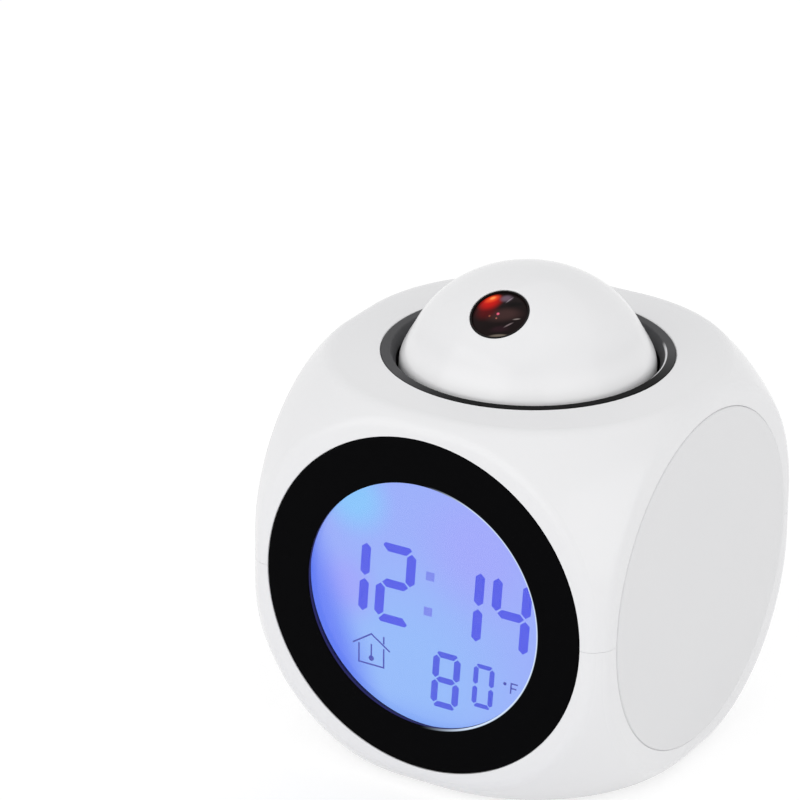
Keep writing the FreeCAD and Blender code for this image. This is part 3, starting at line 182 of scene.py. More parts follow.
class Finish:
    """A node material, or a world: a shader fed by procedural patterns."""

    def __init__(self, name, world=None):
        self.material = world or bpy.data.materials.new(name)
        self.material.use_nodes = True
        self.tree = self.material.node_tree
        self.tree.nodes.clear()
        self.output = self.tree.nodes.new("ShaderNodeOutputWorld" if world
                                          else "ShaderNodeOutputMaterial")
        self.place = self.node("ShaderNodeTexCoord", {}, {})["Object"]

    def node(self, kind, settings, values):
        made = self.tree.nodes.new(kind)
        for name, value in settings.items():
            setattr(made, name, value)
        for key, value in values.items():
            if isinstance(value, Signal):
                self.tree.links.new(value.socket, made.inputs[key])
            else:
                made.inputs[key].default_value = value
        return Outputs(self, made)

    def noise(self, size, detail=2.0, place=None):
        """Soft random hills of about one size in millimetres, from 0 to 1."""
        return self.node("ShaderNodeTexNoise", {}, {
            "Vector": place or self.place, "Scale": 1 / (size * MM), "Detail": detail})["Fac"]

    def axes(self):
        """The place on the piece in millimetres, as three signals."""
        parts = self.node("ShaderNodeSeparateXYZ", {}, {"Vector": self.place})
        return parts["X"] / MM, parts["Y"] / MM, parts["Z"] / MM

    def along(self, line, start):
        """How far the place lies along a line from a start, in millimetres."""
        x, y, z = self.axes()
        return x * line.x + y * line.y + z * line.z - line.dot(start)

    def stretched(self, x, y, z):
        """The place scaled along each axis, for patterns that run one way."""
        return self.node("ShaderNodeMapping", {}, {"Vector": self.place, "Scale": (x, y, z)})[0]

    def blend(self, share, first, second):
        """A colour between two colours."""
        return self.node("ShaderNodeMix", {"data_type": "RGBA"},
                         {0: share, 6: first, 7: second})[2]

    def bump(self, height, depth, strength=1.0):
        """A surface relief of a depth in millimetres."""
        return self.node("ShaderNodeBump", {}, {
            "Height": height, "Distance": depth * MM, "Strength": strength})["Normal"]

    def shader(self, **values):
        named = {key.replace("_", " "): value for key, value in values.items()}
        return self.node("ShaderNodeBsdfPrincipled", {}, named)[0]

    def show(self, shader):
        self.tree.links.new(shader.socket, self.output.inputs["Surface"])
        return self.material


def grey(level):
    return (level, level, level, 1.0)


def rgb(red, green, blue):
    """A colour from screen values of 0 to 255."""
    def linear(value):
        value /= 255
        return value / 12.92 if value <= 0.04045 else ((value + 0.055) / 1.055) ** 2.4
    return (linear(red), linear(green), linear(blue), 1.0)


def behind_window(red, green, blue):
    """The light of a surface that shows in this screen colour through the window's reflection."""
    mirrored = 0.05
    passed = 0.955
    seen = rgb(red, green, blue)
    return tuple(max(0.0, (value - mirrored) / passed) for value in seen[:3]) + (1.0,)


# Finishes

def moulded_gloss(name, colour, deep, rough, peel=0.004, specular=0.4):
    """Polished moulded plastic: soft flow tone, faint waviness and fine haze."""
    finish = Finish(name)
    flow = finish.noise(22.0, 1.0)
    haze = finish.noise(1.6, 3.0)
    waves = finish.noise(5.0, 1.0)
    dust = finish.noise(0.25, 2.0)
    shader = finish.shader(
        Base_Color=finish.blend(flow * 0.5 + haze * 0.2, colour, deep),
        Roughness=rough + (haze - 0.5) * 0.05 + (dust > 0.72) * 0.06,
        Specular_IOR_Level=specular, IOR=1.49,
        Normal=finish.bump(waves + haze * 0.15, peel))
    return finish.show(shader)


def dome_gloss(name):
    """The cap's polished plastic, with painted light that makes it paler towards its foot."""
    finish = Finish(name)
    x, y, z = finish.axes()
    flow = finish.noise(22.0, 1.0)
    haze = finish.noise(1.6, 3.0)
    base = finish.blend(flow * 0.5 + haze * 0.2, rgb(234, 234, 235), rgb(231, 231, 233))
    shader = finish.shader(
        # Painted light: the base colour turns paler towards the foot, where the collar shades the
        # cap.
        Base_Color=finish.blend(z.rise(79.5, 88.0), rgb(253, 253, 254), base),
        Roughness=0.16 + (haze - 0.5) * 0.05, Specular_IOR_Level=0.4, IOR=1.49,
        Normal=finish.bump(flow + haze * 0.1, 0.002))
    return finish.show(shader)


def ring_black(name):
    """Black plastic with painted light: a painted blue reflection of the display on its inner wall
    and a painted highlight on its inner edge at the right.
    """
    finish = Finish(name)
    x, y, z = finish.axes()
    out = (x * x + (z - mid) * (z - mid)) ** 0.5
    edge = 1.0 - out.rise(ring_opening + 0.22, ring_opening + 0.42)
    inside = 1.0 - out.rise(ring_opening, ring_opening + 0.1)
    wall = y.rise(ring_low.y + 0.2, ring_low.y + 0.4) * inside
    haze = finish.noise(1.6, 3.0)
    # Painted light: the display's blue reflection on the inner wall, and a pale painted highlight
    # along the inner edge on the right.
    painted_light = finish.blend(wall, grey(0.0), rgb(44, 44, 96))
    painted_light = finish.blend(edge * (1.0 - wall) * x.rise(0.0, 13.0), painted_light, rgb(214, 230, 252))
    shader = finish.shader(
        Base_Color=finish.blend(haze, rgb(3, 3, 4), rgb(5, 5, 6)),
        Roughness=0.4 + haze * 0.08, Specular_IOR_Level=0.02,
        Emission_Color=painted_light, Emission_Strength=1.0)
    return finish.show(shader)


def collar_black(name):
    """Black plastic with painted light and shade: grey at its sides, black where it faces forward,
    and a painted highlight on its inner edge at the right.
    """
    finish = Finish(name)
    x, y, z = finish.axes()
    out = (x * x + y * y) ** 0.5
    inner = out.rise(well_opening - 0.25, well_opening - 0.1)
    outer = out.rise(well_opening + 0.15, well_opening + 0.3)
    edge = inner * (1.0 - outer) * (z > top - 0.5)
    # Painted highlight: a pale arc on the inner edge at the right.
    painted_highlight = ((x * 0.939 + y * 0.344) / out).rise(0.93, 0.98)
    # Painted light and shade: black where the collar faces forward, grey at its sides.
    painted_front_shade = ((x * 0.7 - y * 0.714) / out).rise(0.15, 0.8)
    haze = finish.noise(1.6, 3.0)
    plain = finish.blend(haze, rgb(76, 76, 77), rgb(84, 84, 86))
    plain = finish.blend(painted_front_shade, plain, rgb(10, 10, 10))
    shader = finish.shader(
        Base_Color=finish.blend(edge * painted_highlight, plain, rgb(224, 224, 226)),
        Roughness=0.3 + haze * 0.08, Specular_IOR_Level=0.02)
    return finish.show(shader)


def barrel_black(name):
    """Dark inside of the projector's barrel, with the lamp's red light painted on where it falls.
    """
    finish = Finish(name)
    depth = finish.along(-beam_line, beam_point)
    far = finish.along(beam_far, beam_point)
    inside = depth.rise(lens_front + lens_sag + 0.4, lens_front + lens_sag + 1.0)
    hazy = finish.noise(0.8, 2.0)
    # Painted light: the lamp's red light on the wall beyond the lens, with a paler orange spot near
    # its far side.
    painted_hot_spot = far.rise(4.7, 5.4) * (1.0 - depth.rise(3.5, 7.0))
    painted_warm_light = far.rise(1.0, 5.2) * (1.0 - depth.rise(6.0, 12.0) * 0.5)
    painted_light = finish.blend(painted_warm_light, rgb(14, 8, 8), rgb(170, 10, 8))
    painted_light = finish.blend(painted_hot_spot * 0.85, painted_light, rgb(250, 88, 36))
    shader = finish.shader(
        Base_Color=finish.blend(hazy, rgb(12, 10, 10), rgb(20, 17, 16)),
        Roughness=0.4 + hazy * 0.1, Specular_IOR_Level=0.15,
        Emission_Color=finish.blend(inside, grey(0.0), painted_light), Emission_Strength=1.0)
    return finish.show(shader)


# Painted reflections and painted red lamp light in the lens: place, half sizes, turn, share and
# colour, as seen along the beam

painted_lens_reflexes = (
    ((-1.33, -0.3), (4.6, 2.1), 153, 0.95, (64, 42, 41)),
    ((-1.5, -3.6), (2.6, 0.9), 159, 0.7, (46, 24, 32)),
    ((2.7, 0.0), (3.2, 3.0), 160, 0.8, (92, 12, 15)),
    ((2.9, 2.3), (3.2, 2.8), 142, 1.0, (196, 18, 12)),
    ((2.9, 3.2), (2.1, 1.4), 142, 0.95, (246, 76, 30)),
    ((2.9, 3.45), (0.9, 0.7), 142, 0.8, (255, 160, 84)),
    ((0.1, 3.85), (1.7, 1.4), 147, 0.85, (112, 92, 108)),
    ((-2.3, 2.9), (2.4, 0.9), 152, 0.9, (12, 8, 8)),
    ((-0.75, 3.6), (1.4, 0.2), 108, 0.8, (150, 140, 148)),
    ((-3.95, -0.5), (1.0, 0.2), 148, 0.8, (150, 138, 134)),
    ((-2.95, -2.25), (1.4, 0.2), 131, 0.8, (138, 122, 124)),
    ((-0.05, -0.5), (0.42, 0.42), 0, 0.95, (250, 104, 136)),
    ((1.5, -1.3), (0.32, 0.32), 0, 0.6, (170, 96, 70)),
    ((-0.1, -1.55), (0.28, 0.28), 0, 0.7, (190, 116, 100)),
    ((-1.8, -4.85), (2.9, 0.34), 163, 0.5, (150, 138, 124)),
)


def lens_dark(name):
    """The lens over its dark barrel, with the lamp's red light and faint reflections painted on."""
    finish = Finish(name)
    across = finish.along(beam_across, beam_point)
    upward = finish.along(beam_upward, beam_point)
    out = (across * across + upward * upward) ** 0.5

    def painted_patch(place, half, turn):
        c, s = math.cos(math.radians(turn)), math.sin(math.radians(turn))
        u = ((across - place[0]) * c + (upward - place[1]) * s) / half[0]
        v = ((upward - place[1]) * c - (across - place[0]) * s) / half[1]
        return 1.0 - ((u * u + v * v) ** 0.5).rise(0.25, 1.0)

    cloud = finish.noise(1.5, 2.0)
    painted_light = finish.blend(cloud, rgb(20, 12, 13), rgb(28, 19, 19))
    # Painted light: the lamp's red light and the reflections of the table above, over a dark cloudy
    # tone.
    for place, half, turn, share, colour in painted_lens_reflexes:
        painted_light = finish.blend(painted_patch(place, half, turn) * share, painted_light, rgb(*colour))
    # Darker at the rim.
    painted_light = finish.blend(out.rise(lens_radius - 0.22, lens_radius - 0.06), painted_light, rgb(8, 6, 6))
    shader = finish.shader(
        Base_Color=grey(0.004), Roughness=0.06 + cloud * 0.02, Specular_IOR_Level=0.025,
        Emission_Color=painted_light, Emission_Strength=1.0)
    return finish.show(shader)


def moulded_matt(name, colour, light, rough, grain=0.35, depth=0.02, specular=0.4):
    """Spark-eroded plastic with an even fine grain."""
    finish = Finish(name)
    pits = finish.noise(grain, 3.0)
    flow = finish.noise(14.0, 1.0)
    shader = finish.shader(
        Base_Color=finish.blend(pits * 0.6 + flow * 0.3, colour, light),
        Roughness=rough + (pits - 0.5) * 0.12,
        Specular_IOR_Level=specular,
        Normal=finish.bump(pits, depth))
    return finish.show(shader)


def rubber(name, colour, light, grain=0.25):
    finish = Finish(name)
    pores = finish.noise(grain, 4.0)
    bloom = finish.noise(3.5, 2.0)
    shader = finish.shader(
        Base_Color=finish.blend(bloom * 0.5 + pores * 0.3, colour, light),
        Roughness=0.78 + (pores - 0.5) * 0.2,
        Specular_IOR_Level=0.3,
        Normal=finish.bump(pores, 0.03))
    return finish.show(shader)


def worked_metal(name, colour, dark, rough, along):
    """Drawn or rolled metal with fine lines along one axis."""
    finish = Finish(name)
    scale = [1.0, 1.0, 1.0]
    scale[along] = 0.05
    lines = finish.noise(0.12, 3.0, finish.stretched(*scale))
    stain = finish.noise(2.5, 3.0)
    shader = finish.shader(
        Base_Color=finish.blend(stain.rise(0.35, 0.75) * 0.6, colour, dark),
        Metallic=1.0,
        Roughness=rough + (lines - 0.5) * 0.18 + stain * 0.08,
        Normal=finish.bump(lines, 0.006))
    return finish.show(shader)


def circuit_board(name):
    """Green solder mask with copper tracks showing through as paler lines."""
    finish = Finish(name)
    weave = finish.noise(0.5, 2.0)
    cells = finish.node("ShaderNodeTexBrick", {"offset": 0.5}, {
        "Vector": finish.place, "Scale": 1 / (5.0 * MM), "Mortar Size": 0.05,
        "Color1": grey(0.0), "Color2": grey(0.0), "Mortar": grey(1.0)})["Fac"]
    base = finish.blend(weave, rgb(14, 74, 44), rgb(22, 92, 56))
    shader = finish.shader(
        Base_Color=finish.blend(cells * 0.55, base, rgb(58, 128, 84)),
        Roughness=0.34 + weave * 0.14,
        Coat_Weight=0.3,
        Normal=finish.bump(cells + weave * 0.1, 0.02))
    return finish.show(shader)


def lamp_passes(finish, shader, tint):
    """Lets lamps shine through a clear piece, which otherwise throws a solid shadow."""
    path = finish.node("ShaderNodeLightPath", {}, {})
    clear = finish.node("ShaderNodeBsdfTransparent", {}, {"Color": tint})[0]
    return finish.node("ShaderNodeMixShader", {}, {
        0: path["Is Shadow Ray"].larger(path["Is Diffuse Ray"]), 1: shader, 2: clear})[0]


def clear_glass(name, tint, ior=1.49):
    finish = Finish(name)
    film = finish.noise(9.0, 2.0)
    shader = finish.shader(
        Base_Color=finish.blend(film, tint, grey(1.0)), Roughness=0.0, IOR=ior,
        Transmission_Weight=1.0)
    return finish.show(lamp_passes(finish, shader, tint))


# Light of the display: places from its middle in millimetres, sizes, shares and screen colours

display_blue = (157, 176, 250)
display_pools = (
    ((-4.0, -17.0), 34.0, 1.0, (152, 188, 250)),
    ((12.0, 14.0), 19.0, 0.9, (163, 170, 251)),
    ((-19.0, -1.0), 10.0, 0.85, (162, 166, 251)),
    ((-17.0, 18.5), 10.5, 0.85, (138, 202, 252)),
)


def lit_cell(name):
    """The backlit display cell: blue light in soft pools, deeper towards the left and the foot."""
    finish = Finish(name)
    x, y, z = finish.axes()
    z = z - mid
    light = behind_window(*display_blue)
    for (at_x, at_z), size, share, colour in display_pools:
        away = ((x - at_x) ** 2.0 + (z - at_z) ** 2.0) ** 0.5
        pool = (1.0 - away.rise(size * 0.15, size)) * share
        light = finish.blend(pool, light, behind_window(*colour))
    left = (x * -0.93 - z * 0.37).rise(16.5, 26.0)
    light = finish.blend(left * 0.92, light, behind_window(106, 130, 247))
    foot = (1.0 - z.rise(-30.0, -21.0)) * (1.0 - x.rise(-12.0, 12.0) * 0.6)
    light = finish.blend(foot * 0.5, light, behind_window(112, 146, 250))
    matt = finish.noise(0.3, 2.0)
    shader = finish.shader(
        Base_Color=grey(0.01), Roughness=0.8 + matt * 0.1, Specular_IOR_Level=0.0,
        Emission_Color=light, Emission_Strength=1.0)
    return finish.show(shader)


def lit_figure(name, colour, deep):
    """Dark crystal of a figure, with the backlight showing through."""
    finish = Finish(name)
    cloud = finish.noise(2.4, 2.0)
    shader = finish.shader(
        Base_Color=grey(0.01), Roughness=0.5, Specular_IOR_Level=0.2,
        Emission_Color=finish.blend(cloud, colour, deep), Emission_Strength=1.0)
    return finish.show(shader)


# Mesh builders

def rounded(corners, steps=8):
    """An outline whose corners (u, v, radius) are rounded with arcs."""
    points = []
    count = len(corners)
    for index, (u, v, radius) in enumerate(corners):
        here = Vector((u, v))
        if radius == 0:
            points.append(here)
            continue
        before = (Vector(corners[index - 1][:2]) - here).normalized()
        after = (Vector(corners[(index + 1) % count][:2]) - here).normalized()
        half = before.angle(after) / 2
        reach = radius / math.tan(half)
        centre = here + (before + after).normalized() * (radius / math.sin(half))
        start = here + before * reach - centre
        end = here + after * reach - centre
        sweep = start.angle_signed(end)
        for step in range(steps + 1):
            turn = Matrix.Rotation(-sweep * step / steps, 2)
            points.append(centre + turn @ start)
    return points


def mesh_from(name, points, faces):
    mesh = bpy.data.meshes.new(name)
    mesh.from_pydata([tuple(Vector(point) * MM) for point in points], [], faces)
    build = bmesh.new()
    build.from_mesh(mesh)
    bmesh.ops.recalc_face_normals(build, faces=build.faces)
    build.to_mesh(mesh)
    build.free()
    mesh.shade_smooth()
    mesh.set_sharp_from_angle(angle=math.radians(28))
    return mesh


def turned(name, outline, frame_of, steps=192):
    """A turned solid: a closed outline of (radius, height) carried round the height axis.

    frame_of turns a point of the piece's own space, with height as z, into the part's space.
    """
    points = []
    rings = []
    for radius, height in outline:
        if radius < 1e-6:
            rings.append([len(points)])
            points.append(frame_of @ Vector((0, 0, height)))
            continue
        rings.append(list(range(len(points), len(points) + steps)))
        for step in range(steps):
            angle = 2 * math.pi * step / steps
            points.append(frame_of @ Vector((radius * math.cos(angle), radius * math.sin(angle),
                                             height)))
    faces = []
    for one, two in zip(rings, rings[1:] + rings[:1]):
        if len(one) == 1 and len(two) == 1:
            continue
        for step in range(steps):
            follow = (step + 1) % steps
            if len(one) == 1:
                faces.append((one[0], two[step], two[follow]))
            elif len(two) == 1:
                faces.append((one[step], two[0], one[follow]))
            else:
                faces.append((one[step], two[step], two[follow], one[follow]))
    return mesh_from(name, points, faces)


def facing(direction, at):
    """A frame whose height axis points along a direction from a place."""
    turn = Vector(direction).to_track_quat("Z", "Y").to_matrix().to_4x4()
    return Matrix.Translation(Vector(at)) @ turn


def prism(outline, near, far):
    """Corner points and faces of a flat shape in the display plane, between two depths."""
    count = len(outline)
    points = [(u, near, v) for u, v in outline] + [(u, far, v) for u, v in outline]
    faces = [tuple(range(count)), tuple(range(2 * count - 1, count - 1, -1))]
    for index in range(count):
        follow = (index + 1) % count
        faces.append((index, follow, follow + count, index + count))
    return points, faces


def gathered(name, solids):
    """One mesh of several closed solids."""
    points = []
    faces = []
    for more_points, more_faces in solids:
        start = len(points)
        points += more_points
        faces += [tuple(start + index for index in face) for face in more_faces]
    return mesh_from(name, points, faces)


def add_piece(name, mesh, body, slot, finish, *stands_for):
    piece = bpy.data.objects.new(name, mesh)
    bpy.context.scene.collection.objects.link(piece)
    mesh.materials.append(finish)
    flats = piece.modifiers.new("flats", "WEIGHTED_NORMAL")
    flats.keep_sharp = True
    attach(piece, body)
    if stands_for:
        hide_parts(*stands_for)
    return piece


def dress(finish, *nodes):
    """Gives a finish to nodes whose shape stays as it is."""
    for node in nodes:
        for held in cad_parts[node].material_slots:
            held.material = finish


# Pieces

def make_side_discs(finish):
    """The plain round discs in both side faces."""
    radius = (disc_high.y - disc_low.y) / 2 + disc_lip
    outline = rounded([(0, disc_thick, 0), (radius, disc_thick, disc_edge), (radius, 0, 0),
                       (0, 0, 0)])
    for name, side, node in (("side_cover_right", 1, "side_disc_right"),
                             ("side_cover_left", -1, "side_disc_left")):
        frame_of = facing((side, 0, 0), (side * (disc_high.x - disc_thick), 0, mid))
        add_piece(name, turned(name, outline, frame_of, 256), "housing", "white_gloss", finish,
                  node)


def make_front_ring(finish):
    """The flat ring round the display, with a rebate behind for the window."""
    radius = (ring_high.x - ring_low.x) / 2
    thick = ring_high.y - ring_low.y
    rebate = (window_high.x - window_low.x) / 2 + 0.1
    outline = rounded([
        (ring_opening, thick, 0.18), (radius, thick, 0.3), (radius, 0, 0), (rebate, 0, 0),
        (rebate, thick - ring_lip, 0), (ring_opening, thick - ring_lip, 0)])
    frame_of = facing((0, -1, 0), (0, ring_high.y, mid))
    add_piece("display_ring", turned("display_ring", outline, frame_of, 256), "housing",
              "black_plastic", finish, "front_bezel")


def make_window(finish):
    """The round clear window."""
    radius = (window_high.x - window_low.x) / 2
    thick = window_high.y - window_low.y
    outline = rounded([(0, thick, 0), (radius, thick, 0.12), (radius, 0, 0.12), (0, 0, 0)])
    frame_of = facing((0, -1, 0), (0, window_high.y, mid))
    add_piece("display_window", turned("display_window", outline, frame_of, 192), "housing",
              "clear_window", finish, "lcd_window")


def make_cell(finish):
    """The display cell: a square with cut corners."""
    half = (cell_high.x - cell_low.x) / 2
    short = half - cell_corner
    outline = [(half, -short), (half, short), (short, half), (-short, half),
               (-half, short), (-half, -short), (-short, -half), (short, -half)]
    outline = [(u, mid + v) for u, v in outline]
    mesh = gathered("display_cell", [prism(outline, cell_low.y, cell_high.y)])
    add_piece("display_cell", mesh, "housing", "display_cell", finish, "lcd_glass")


# Figures: places on the display, from its middle, in millimetres

figure_depth = 0.05
figure_slant = 0.0625
clock_half = (3.35, 7.9)
clock_bars = (1.05, 0.92)
clock_middle = 1.8
clock_places = ((-18.0, "1"), (-7.55, "2"), (8.15, "1"), (18.85, "4"))
colon_places = ((0.5, 5.7), (0.05, -2.1))
colon_half = 0.95
degree_digits = (((4.3, -16.3), (2.4, 5.55), (0.75, 0.64), "8"),
                 ((12.9, -15.25), (1.82, 4.35), (0.55, 0.46), "0"))
segments_of = {"0": "abcdef", "1": "bc", "2": "abged", "4": "fgbc", "8": "abcdefg"}


def bar_shapes(half, bars):
    """The seven bars of a figure round its middle, each with mitred ends."""
    wide, high = half
    upright, level = bars
    tip = 0.33 * upright

    def post(x, low, high_end):
        return [(x, high_end - tip), (x + upright, high_end - 1.15 * upright),
                (x + upright, low + 1.15 * upright), (x, low + tip),
                (x - upright, low + 1.15 * upright), (x - upright, high_end - 1.15 * upright)]

    def cap(side):
        inner = high - level
        outer = high + level
        middle = high + 0.4 * level
        flat = wide - 1.15 * upright
        return [(-flat, side * inner), (-wide + 0.05, side * middle),
                (-wide + 0.5 * upright, side * outer), (wide - 0.5 * upright, side * outer),
                (wide - 0.05, side * middle), (flat, side * inner)]

    middle_tip = wide - tip
    flat = wide - 1.25 * upright
    return {
        "a": cap(1), "d": cap(-1),
        "g": [(-middle_tip, 0), (-flat, level), (flat, level), (middle_tip, 0),
              (flat, -level), (-flat, -level)],
        "b": post(wide, 0, high), "f": post(-wide, 0, high),
        "c": post(wide, -high, 0), "e": post(-wide, -high, 0),
    }


def on_display(shapes, at_x, at_z):
    """Shapes moved to a place on the display, slanted, as thin closed solids."""
    solids = []
    for shape in shapes:
        outline = [(at_x + u + figure_slant * v, mid + at_z + v) for u, v in shape]
        solids.append(prism(outline, cell_low.y - figure_depth, cell_low.y))
    return solids


def make_figures(finish, small_finish, pale_finish):
    """The time, the temperature and the colon."""
    bars = bar_shapes(clock_half, clock_bars)
    solids = []
    for x, figure in clock_places:
        solids += on_display([bars[name] for name in segments_of[figure]], x, clock_middle)
    add_piece("time_figures", gathered("time_figures", solids), "housing", "display_cell", finish)
    solids = []
    for (x, z), half, bars, figure in degree_digits:
        shapes = bar_shapes(half, bars)
        solids += on_display([shapes[name] for name in segments_of[figure]], x, z)
    add_piece("temperature_figures", gathered("temperature_figures", solids), "housing",
              "display_cell", small_finish)
    square = [(-colon_half, -colon_half), (colon_half, -colon_half),
              (colon_half, colon_half), (-colon_half, colon_half)]
    solids = []
    for x, z in colon_places:
        solids += on_display([square], x, z)
    add_piece("time_colon", gathered("time_colon", solids), "housing", "display_cell", pale_finish)


def stroke(start, end, width):
    """A straight line of a width, as a flat outline."""
    start, end = Vector(start), Vector(end)
    along = (end - start).normalized()
    side = Vector((-along.y, along.x)) * width / 2
    along *= width / 2
    return [tuple(point) for point in (start - side - along, end - side + along,
                                       end + side + along, start + side - along)]


def round_spot(x, z, radius, steps=24):
    return [(x + radius * math.cos(2 * math.pi * step / steps),
             z + radius * math.sin(2 * math.pi * step / steps)) for step in range(steps)]


def make_signs(finish):
    """The small house with a thermometer, and the unit beside the temperature."""
    sign_line, unit_line = 0.32, 0.3
    peak, eaves, floor = -10.5, -13.3, -17.3
    middle, wall, roof = -13.0, 2.9, 4.2
    lines = [
        ((middle - roof, eaves), (middle, peak)), ((middle, peak), (middle + roof, eaves)),
        ((middle - wall, eaves), (middle - wall, floor)),
        ((middle + wall, eaves), (middle + wall, floor)),
        ((middle - wall, floor), (middle + wall, floor)),
        ((middle + wall, peak - 1.4), (middle + wall, peak - 0.1)),
        ((middle, floor + 1.6), (middle, eaves + 0.4)),
    ]
    shapes = [stroke(start, end, sign_line) for start, end in lines]
    shapes.append(round_spot(middle, floor + 1.4, 0.6))
    shapes.append(round_spot(17.85, -13.2, 0.36))
    foot, head, waist = (19.15, -14.9), (19.3, -12.8), (19.22, -13.85)
    for start, end in ((foot, head), (head, (20.6, -12.8)), (waist, (20.3, -13.85))):
        shapes.append(stroke(start, end, unit_line))
    solids = [prism([(u, mid + v) for u, v in shape], cell_low.y - figure_depth, cell_low.y)
              for shape in shapes]
    add_piece("room_sign", gathered("room_sign", solids), "housing", "display_cell", finish)


def make_well_ring(finish):
    """The collar round the dome: a flat rim, a short cone inside it and a straight sleeve."""
    radius = (well_high.x - well_low.x) / 2
    deep = well_high.z - well_low.z
    outline = rounded([
        (well_opening, 0, 0), (well_opening, deep - 3.0, 0), (well_throat, deep - 2.4, 0.3),
        (well_opening, deep, 0.4), (radius, deep, 0.12), (radius, deep - 1.2, 0),
        (well_opening + 1.2, deep - 1.2, 0), (well_opening + 1.2, 0, 0)])
    frame_of = Matrix.Translation((0, 0, well_low.z))
    add_piece("well_collar", turned("well_collar", outline, frame_of, 256), "housing",
              "black_plastic", finish, "well_ring")


# The beam leaves the dome at this point and along this line

dome_radius = (dome_high.x - dome_low.x) / 2
equator = dome_high.z - dome_rise
beam_line = Vector((math.cos(beam_elevation) * math.sin(beam_heading),
                    -math.cos(beam_elevation) * math.cos(beam_heading),
                    math.sin(beam_elevation)))
beam_point = Vector((beam_exit * math.sin(beam_heading), -beam_exit * math.cos(beam_heading),
                     equator + dome_rise * math.sqrt(1 - (beam_exit / dome_radius) ** 2)))
beam_across = beam_line.cross(Vector((0, 0, 1))).normalized()
beam_upward = beam_across.cross(beam_line).normalized()
beam_far = (beam_across * 0.614 + beam_upward * 0.79).normalized()


def on_cap(line_point, side, rise):
    """Where a line along the beam meets the cap's surface of one radius and rise."""
    shrink = Vector((1 / side, 1 / side, 1 / rise))
    start = (line_point - Vector((0, 0, equator))) * shrink
    way = beam_line * shrink
    a, b, c = way.dot(way), 2 * start.dot(way), start.dot(start) - 1
    return line_point + beam_line * (-b + math.sqrt(b * b - 4 * a * c)) / (2 * a)


def flared(point):
    """A point of the cap, moved outward where the cap widens towards its foot."""
    share = min(1.0, max(0.0, (flare_start - point.z) / (flare_start - flare_end)))
    wide = flare_wide * share * share * (3 - 2 * share)
    out = math.hypot(point.x, point.y)
    return Vector((point.x * (1 + wide / out), point.y * (1 + wide / out), point.z))


def make_dome(finish):
    """The cap as one skin of rings that run from its foot to the beam's opening and back inside."""
    steps = 240
    inner_radius = dome_radius - dome_wall
    inner_rise = dome_rise - dome_wall
    edge = 0.35

    def hole(radius, side, rise, sink=0.0):
        ring = []
        for step in range(steps):
            angle = 2 * math.pi * step / steps
            spoke = beam_across * math.cos(angle) + beam_upward * math.sin(angle)
            ring.append(on_cap(beam_point + spoke * radius, side, rise) - beam_line * sink)
        return ring

    def cap_rings(start, side, rise, count):
        """Rings from the foot of the cap to a ring near the opening, all on the cap."""
        shape = Vector((side, side, rise))
        centre = Vector((0, 0, equator))
        rings = []
        for index in range(count):
            share = index / count
            ring = []
            for point in start:
                away = Vector([value / size for value, size in zip(point - centre, shape)])
                flat = point - beam_point
                foot = Vector((flat.x, flat.y, 0)).normalized()
                angle = foot.angle(away.normalized())
                mixed = (foot * math.sin((1 - share) * angle)
                         + away.normalized() * math.sin(share * angle)) / math.sin(angle)
                ring.append(centre + Vector([value * size for value, size in zip(mixed, shape)]))
            rings.append(ring)
        return rings

    outer_start = hole(beam_opening + edge, dome_radius, dome_rise)
    inner_start = hole(beam_opening, inner_radius, inner_rise)
    outer = cap_rings(outer_start, dome_radius, dome_rise, 72)
    inner = cap_rings(inner_start, inner_radius, inner_rise, 48)
    foot = dome_low.z

    def dropped(ring, to):
        return [Vector((point.x, point.y, to)) for point in ring]

    rings = [dropped(inner[0], foot), dropped(outer[0], foot)]
    rings += outer
    for step in range(7):
        angle = math.pi / 2 * step / 6
        rings.append(hole(beam_opening + edge * (1 - math.sin(angle)), dome_radius, dome_rise,
                          edge * (1 - math.cos(angle))))
    rings.append(inner_start)
    rings += inner[::-1]
    points = [flared(point) for ring in rings for point in ring]
    faces = []
    count = len(rings)
    for index in range(count):
        one = index * steps
        two = (index + 1) % count * steps
        for step in range(steps):
            follow = (step + 1) % steps
            faces.append((one + step, one + follow, two + follow, two + step))
    add_piece("dome_cap", mesh_from("dome_cap", points, faces), "dome", "white_gloss", finish,
              "projector_dome")


def make_barrel(finish):
    """The stepped tube in the dome, with its mouth just below the dome's surface."""
    outline = rounded([
        (lens_radius, -barrel_recess, 0.12), (barrel_radius, -barrel_recess, 0.12),
        (barrel_radius, -shoulder, 0), (lamp_radius, -shoulder, 0), (lamp_radius, -lamp_end, 0),
        (lamp_radius - lamp_wall, -lamp_end, 0),
        (lamp_radius - lamp_wall, -shoulder - lamp_wall, 0),
        (gate_radius, -shoulder - lamp_wall, 0), (gate_radius, -shoulder, 0),
        (lens_radius, -shoulder, 0)], 4)
    mesh = turned("projector_barrel", outline, facing(beam_line, beam_point), 96)
    add_piece("projector_barrel", mesh, "dome", "black_inner", finish, "lens_barrel")


def make_lens(finish):
    """The lens: two curved faces and a short straight rim."""
    radius = lens_radius - 0.05
    steps = 14

    def face(start, turn):
        """Half the outline of a curved face, from the rim to the middle."""
        line = []
        for step in range(steps + 1):
            out = radius * math.cos(math.pi / 2 * step / steps)
            fall = lens_curve - math.sqrt(lens_curve ** 2 - out ** 2)
            line.append((out, start - turn * fall))
        return line

    back = lens_front + 2 * lens_sag + lens_rim
    outline = face(-back, -1)[::-1] + face(-lens_front, 1)
    outline = [(max(out, 0.0), height) for out, height in outline]
    mesh = turned("projector_glass", outline, facing(beam_line, beam_point), 96)
    add_piece("projector_glass", mesh, "dome", "lens_glass", finish, "projector_lens")


# Stage, light and view, in metres

floor_radius = 3.0
floor_depth = 0.002
floor_glow = 0.71
sky_light = 0.7


